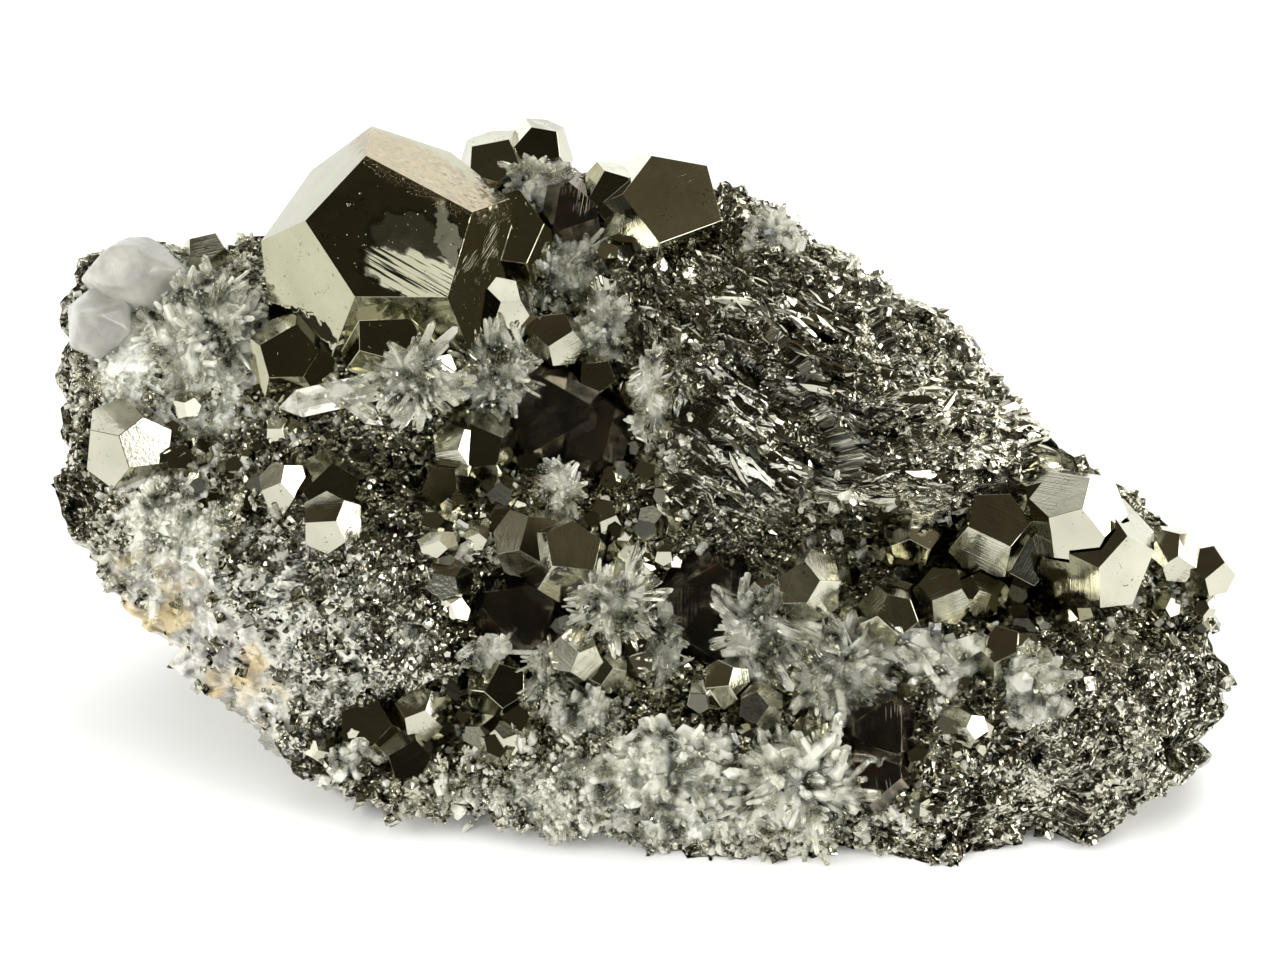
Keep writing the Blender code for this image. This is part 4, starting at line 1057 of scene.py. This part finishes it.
def massive_pyrite():
    """Massive granular pyrite: thousands of small broken faces that mirror light and dark by
    turns, some tarnished dark, drawn out in streaks on the dome, with white quartz sugar and
    grey, rust-stained rock between. Its hollows take painted shade with some tarnish, and the side
    that mirrors the table and the slivers take a painted highlight."""
    material, tree = new_material("massive_pyrite")
    places = object_places(tree)
    names = ("striated", "sheets", "sugary", "grey", "table_sheen", "hollow", "fore")
    marks = {name: add_node(tree, "Attribute", output="Fac", attribute_name=name) for name in names}
    marks["off_sheets"] = add_node(
        tree, "Math", {0: marks["sheets"], 1: -0.9, 2: 1.0}, operation="MULTIPLY_ADD"
    )
    flow = add_node(tree, "Attribute", output="Vector", attribute_name="flow")
    sway = add_node(tree, "TexNoise", {"Vector": flow, "Scale": 0.3}, "Color")
    swayed = add_node(tree, "VectorMath", {0: sway, 1: (0.6, 3.0, 1.0), 2: flow}, operation="MULTIPLY_ADD")
    along = add_node(tree, "VectorMath", {0: swayed, 1: (0.22, 1.0, 0.6)}, operation="MULTIPLY")

    height, tone = broken_height(tree, places, along, marks)
    satin = satin_sheets(tree, swayed, marks)
    calm = calm_places(tree, places, satin, marks)
    depth = add_node(tree, "Math", {0: calm, 1: -0.85, 2: 1.0}, operation="MULTIPLY_ADD")
    height = add_node(tree, "Math", {0: height, 1: depth}, operation="MULTIPLY")
    glint_slivers = painted_glint_slivers(tree, along, marks)
    way = rock_way(tree, satin, glint_slivers, marks)
    normal = add_node(tree, "Bump", {"Height": height, "Distance": MM, "Normal": way})

    metal = rock_metal(tree, places, tone, glint_slivers, marks)
    dull, pale = rock_patches(tree, places, marks)
    colour = add_node(tree, "Mix", {0: dull, 6: metal, 7: pale}, 2, data_type="RGBA")
    metallic = add_node(tree, "Math", {0: 1.0, 1: dull}, operation="SUBTRACT")
    rough = add_node(tree, "Math", {0: dull, 1: 0.4, 2: 0.1}, operation="MULTIPLY_ADD")
    worn = add_node(tree, "Math", {0: calm, 1: marks["table_sheen"]}, operation="MAXIMUM")
    worn = add_node(tree, "Math", {0: worn, 1: marks["off_sheets"]}, operation="MULTIPLY")
    rough = add_node(tree, "Math", {0: worn, 1: 0.2, 2: rough}, operation="MULTIPLY_ADD")
    shader = add_node(
        tree, "BsdfPrincipled",
        {"Base Color": colour, "Metallic": metallic, "Roughness": rough, "Normal": normal},
    )
    finish_material(tree, shader)
    return material


def clear_quartz(name, clouded):
    """Rock crystal in fine prisms: clear and bright-edged, clouded milky in places 2.2 mm across,
    with waves of half a millimetre. Its clouds let through the share of light given."""
    material, tree = new_material(name)
    places = object_places(tree)
    cloud = add_node(tree, "TexNoise", {"Vector": places, "Scale": 0.45, "Detail": 1.0})
    clear = add_node(tree, "MapRange", {0: cloud, 1: 0.4, 2: 0.62, 3: 1.0, 4: clouded})
    waves = add_node(tree, "TexNoise", {"Vector": places, "Scale": 2.0, "Detail": 1.0})
    normal = add_node(tree, "Bump", {"Height": waves, "Distance": 0.01 * MM})
    shader = add_node(
        tree, "BsdfPrincipled",
        {
            "Base Color": linear("#fbfaec"), "Roughness": 0.03, "IOR": 1.544,
            "Transmission Weight": clear, "Normal": normal,
        },
    )
    finish_material(tree, shader)
    return material


def milky_quartz():
    """Milky quartz: a smooth skin with waves of 1.2 mm over a body that light goes deep into, with
    clouds of 3 mm."""
    material, tree = new_material("milky_quartz")
    places = object_places(tree)
    cloud = add_node(tree, "TexNoise", {"Vector": places, "Scale": 0.35, "Detail": 4.0})
    colour = add_node(
        tree, "ValToRGB", {0: cloud}, stops=[(0.35, "#b0aea6"), (0.5, "#c4c2b7"), (0.68, "#d6d4ca")]
    )
    waves = add_node(tree, "TexNoise", {"Vector": places, "Scale": 0.8, "Detail": 3.0})
    normal = add_node(tree, "Bump", {"Height": waves, "Distance": 0.08 * MM})
    shader = add_node(
        tree, "BsdfPrincipled",
        {
            "Base Color": colour, "Roughness": 0.22, "IOR": 1.544,
            "Transmission Weight": 0.4, "Normal": normal,
        },
    )
    finish_material(tree, shader)
    return material


def dark_sphalerite():
    """Iron-rich sphalerite: near-black with a resinous gloss, and in spots of 2.5 mm the brown that
    thin edges let through."""
    material, tree = new_material("dark_sphalerite")
    places = object_places(tree)
    normal = add_node(tree, "Bump", {"Height": growth_lines(tree), "Distance": 0.07 * MM})
    cloud = add_node(tree, "TexNoise", {"Vector": places, "Scale": 0.4, "Detail": 3.0})
    colour = add_node(
        tree, "ValToRGB", {0: cloud}, stops=[(0.4, "#0a0a08"), (0.6, "#12100b"), (0.8, "#24130a")]
    )
    shader = add_node(
        tree, "BsdfPrincipled",
        {
            "Base Color": colour, "Roughness": 0.14, "IOR": 2.37, "Specular Tint": linear("#fff0d8"),
            "Normal": normal,
        },
    )
    finish_material(tree, shader)
    return material


def white_table():
    """Matt white painted board under the specimen, its white uneven over 60 mm."""
    material, tree = new_material("white_table")
    cloud = add_node(tree, "TexNoise", {"Vector": object_places(tree), "Scale": 1 / 60, "Detail": 3.0})
    shade = add_node(tree, "ValToRGB", {0: cloud}, stops=[(0.3, "#f1f1ef"), (0.7, "#f4f4f3")])
    finish_material(tree, add_node(tree, "BsdfPrincipled", {"Base Color": shade, "Roughness": 0.6}))
    return material


def set_world():
    """The room that mirror faces see: a pale wall all round, brightest to the right, under a dark
    ceiling, with a dark stretch behind the eye. Matt surfaces take their light from the lamps."""
    world = bpy.data.worlds.new("studio")
    bpy.context.scene.world = world
    world.cycles_visibility.diffuse = False
    world.use_nodes = True
    tree = world.node_tree
    tree.nodes.clear()
    way = add_node(tree, "TexCoord", output="Generated")
    parts = add_node(tree, "SeparateXYZ", {0: way}).node.outputs
    wall = add_node(
        tree, "ValToRGB", {0: parts[2]},
        stops=[(0.0, "#ffffff"), (0.22, "#fafaf8"), (0.38, "#77736a"), (0.55, "#4a4536"), (1.0, "#3a3529")],
    )
    backdrop = add_node(tree, "MapRange", {0: parts[1], 1: 0.3, 2: 0.6, 3: 0.0, 4: 1.0})
    wall = add_node(tree, "Mix", {0: backdrop, 6: wall, 7: linear("#fafbfa")}, 2, data_type="RGBA")
    behind = add_node(tree, "MapRange", {0: parts[1], 1: -0.75, 2: -0.1, 3: 0.12, 4: 1.0})
    right = add_node(tree, "MapRange", {0: parts[0], 1: 0.2, 2: 0.95, 3: 1.0, 4: 2.4})
    level = add_node(tree, "Math", {0: behind, 1: right}, operation="MULTIPLY")
    cloud = add_node(tree, "TexNoise", {"Vector": way, "Scale": 2.6, "Detail": 2.0})
    cloud = add_node(tree, "MapRange", {0: cloud, 1: 0.3, 2: 0.7, 3: 0.9, 4: 2.3})
    level = add_node(tree, "Math", {0: level, 1: cloud}, operation="MULTIPLY")
    room = add_node(tree, "Background", {"Color": wall, "Strength": level})
    white = add_node(tree, "Background", {"Color": linear("#ffffff"), "Strength": 1.0})
    seen = add_node(tree, "LightPath", output="Is Camera Ray")
    both = add_node(tree, "MixShader", {0: seen, 1: room, 2: white})
    output = tree.nodes.new("ShaderNodeOutputWorld")
    tree.links.new(both, output.inputs["Surface"])


def add_light(name, place, size, power, mirrored=True):
    """A square soft light at a place in millimetres, turned to the specimen."""
    light = bpy.data.lights.new(name, "AREA")
    light.size = size * MM
    light.energy = power
    lamp = bpy.data.objects.new(name, light)
    bpy.context.scene.collection.objects.link(lamp)
    lamp.location = Vector(place) * MM
    aim = Vector((0, 0, MIDDLE_HEIGHT * MM)) - lamp.location
    lamp.rotation_euler = aim.to_track_quat("-Z", "Y").to_euler()
    lamp.visible_glossy = mirrored
    return lamp


def set_studio():
    """The room, its soft lights and the table."""
    set_world()
    add_light("ceiling", (0.0, 0.0, 1300.0), 1500.0, 9.7, mirrored=False)
    add_light("back_softbox", (140.0, 300.0, 420.0), 300.0, 1.4, mirrored=False)
    add_light("left_fill", (-700.0, -250.0, 330.0), 700.0, 8.5, mirrored=False)
    add_light("front_fill", (-150.0, -800.0, 260.0), 700.0, 4.5, mirrored=False)
    add_light("right_window", (430.0, -120.0, 260.0), 260.0, 1.5)
    corners = TABLE_HALF * MM * np.array([[-1, -1, 0], [1, -1, 0], [1, 1, 0], [-1, 1, 0]])
    floor = add_mesh("table", corners, [[0, 1, 2, 3]])
    floor.data.materials.append(white_table())
    bpy.context.scene.view_settings.view_transform = "Standard"


def set_camera():
    """The eye of the photograph: it looks down at the specimen's middle from the front."""
    lens = bpy.data.cameras.new("camera")
    lens.sensor_width = SENSOR
    lens.lens = SENSOR * EYE_DISTANCE / FRAME_WIDTH
    eye = bpy.data.objects.new("camera", lens)
    bpy.context.scene.collection.objects.link(eye)
    c, s = np.cos(LOOK_DOWN), np.sin(LOOK_DOWN)
    eye.location = Vector((0, -EYE_DISTANCE * c, MIDDLE_HEIGHT + EYE_DISTANCE * s)) * MM
    aim = Vector((0, 0, MIDDLE_HEIGHT * MM)) - eye.location
    eye.rotation_euler = aim.to_track_quat("-Z", "Y").to_euler()
    bpy.context.scene.camera = eye


def build():
    """Every piece of the specimen, in its material."""
    rock = massive_pyrite()
    pyrite = grown_pyrite()
    great = great_pyrite()
    prisms = clear_quartz("clear_quartz", SPRAY_CLEARNESS)
    cloudy = clear_quartz("cloudy_quartz", CRUST_CLEARNESS)
    milky = milky_quartz()
    sphalerite = dark_sphalerite()
    crystals = solid_tree("pyrite", "sphalerite")
    skin = dress(rock_skin(), rock, "matrix", "matrix")
    dress(rock_grains(skin, crystals), rock, "matrix")
    dress(dome_flakes(skin), pyrite, "matrix")
    dress(small_crystals(skin, solid_tree("pyrite", "sphalerite", "quartz")), pyrite, "pyrite")
    dress(sugar_crust(skin, crystals), cloudy, "quartz")
    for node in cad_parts:
        if node.startswith("pyrite"):
            material = great if node == "pyrite_great_crystal" else pyrite
            dress(crystal_piece(node, node + "_grown", WORN_EDGE), material, "pyrite", node)
        if node.startswith("sphalerite"):
            dress(crystal_piece(node, node + "_grown", WORN_EDGE), sphalerite, "sphalerite", node)
    for node, entry in QUARTZ.items():
        material = cloudy if node in CLOUDY_QUARTZ else prisms
        dress(quartz_group(node, entry), material, "quartz", node)
    for node, entry in SMOOTH_QUARTZ.items():
        dress(smooth_quartz(node, entry), milky, "quartz", node)
    long_prism = crystal_piece("quartz_long_prism", "quartz_long_prism_grown", WORN_PRISM_EDGE)
    dress(long_prism, prisms, "quartz", "quartz_long_prism")


build()
set_studio()
set_camera()
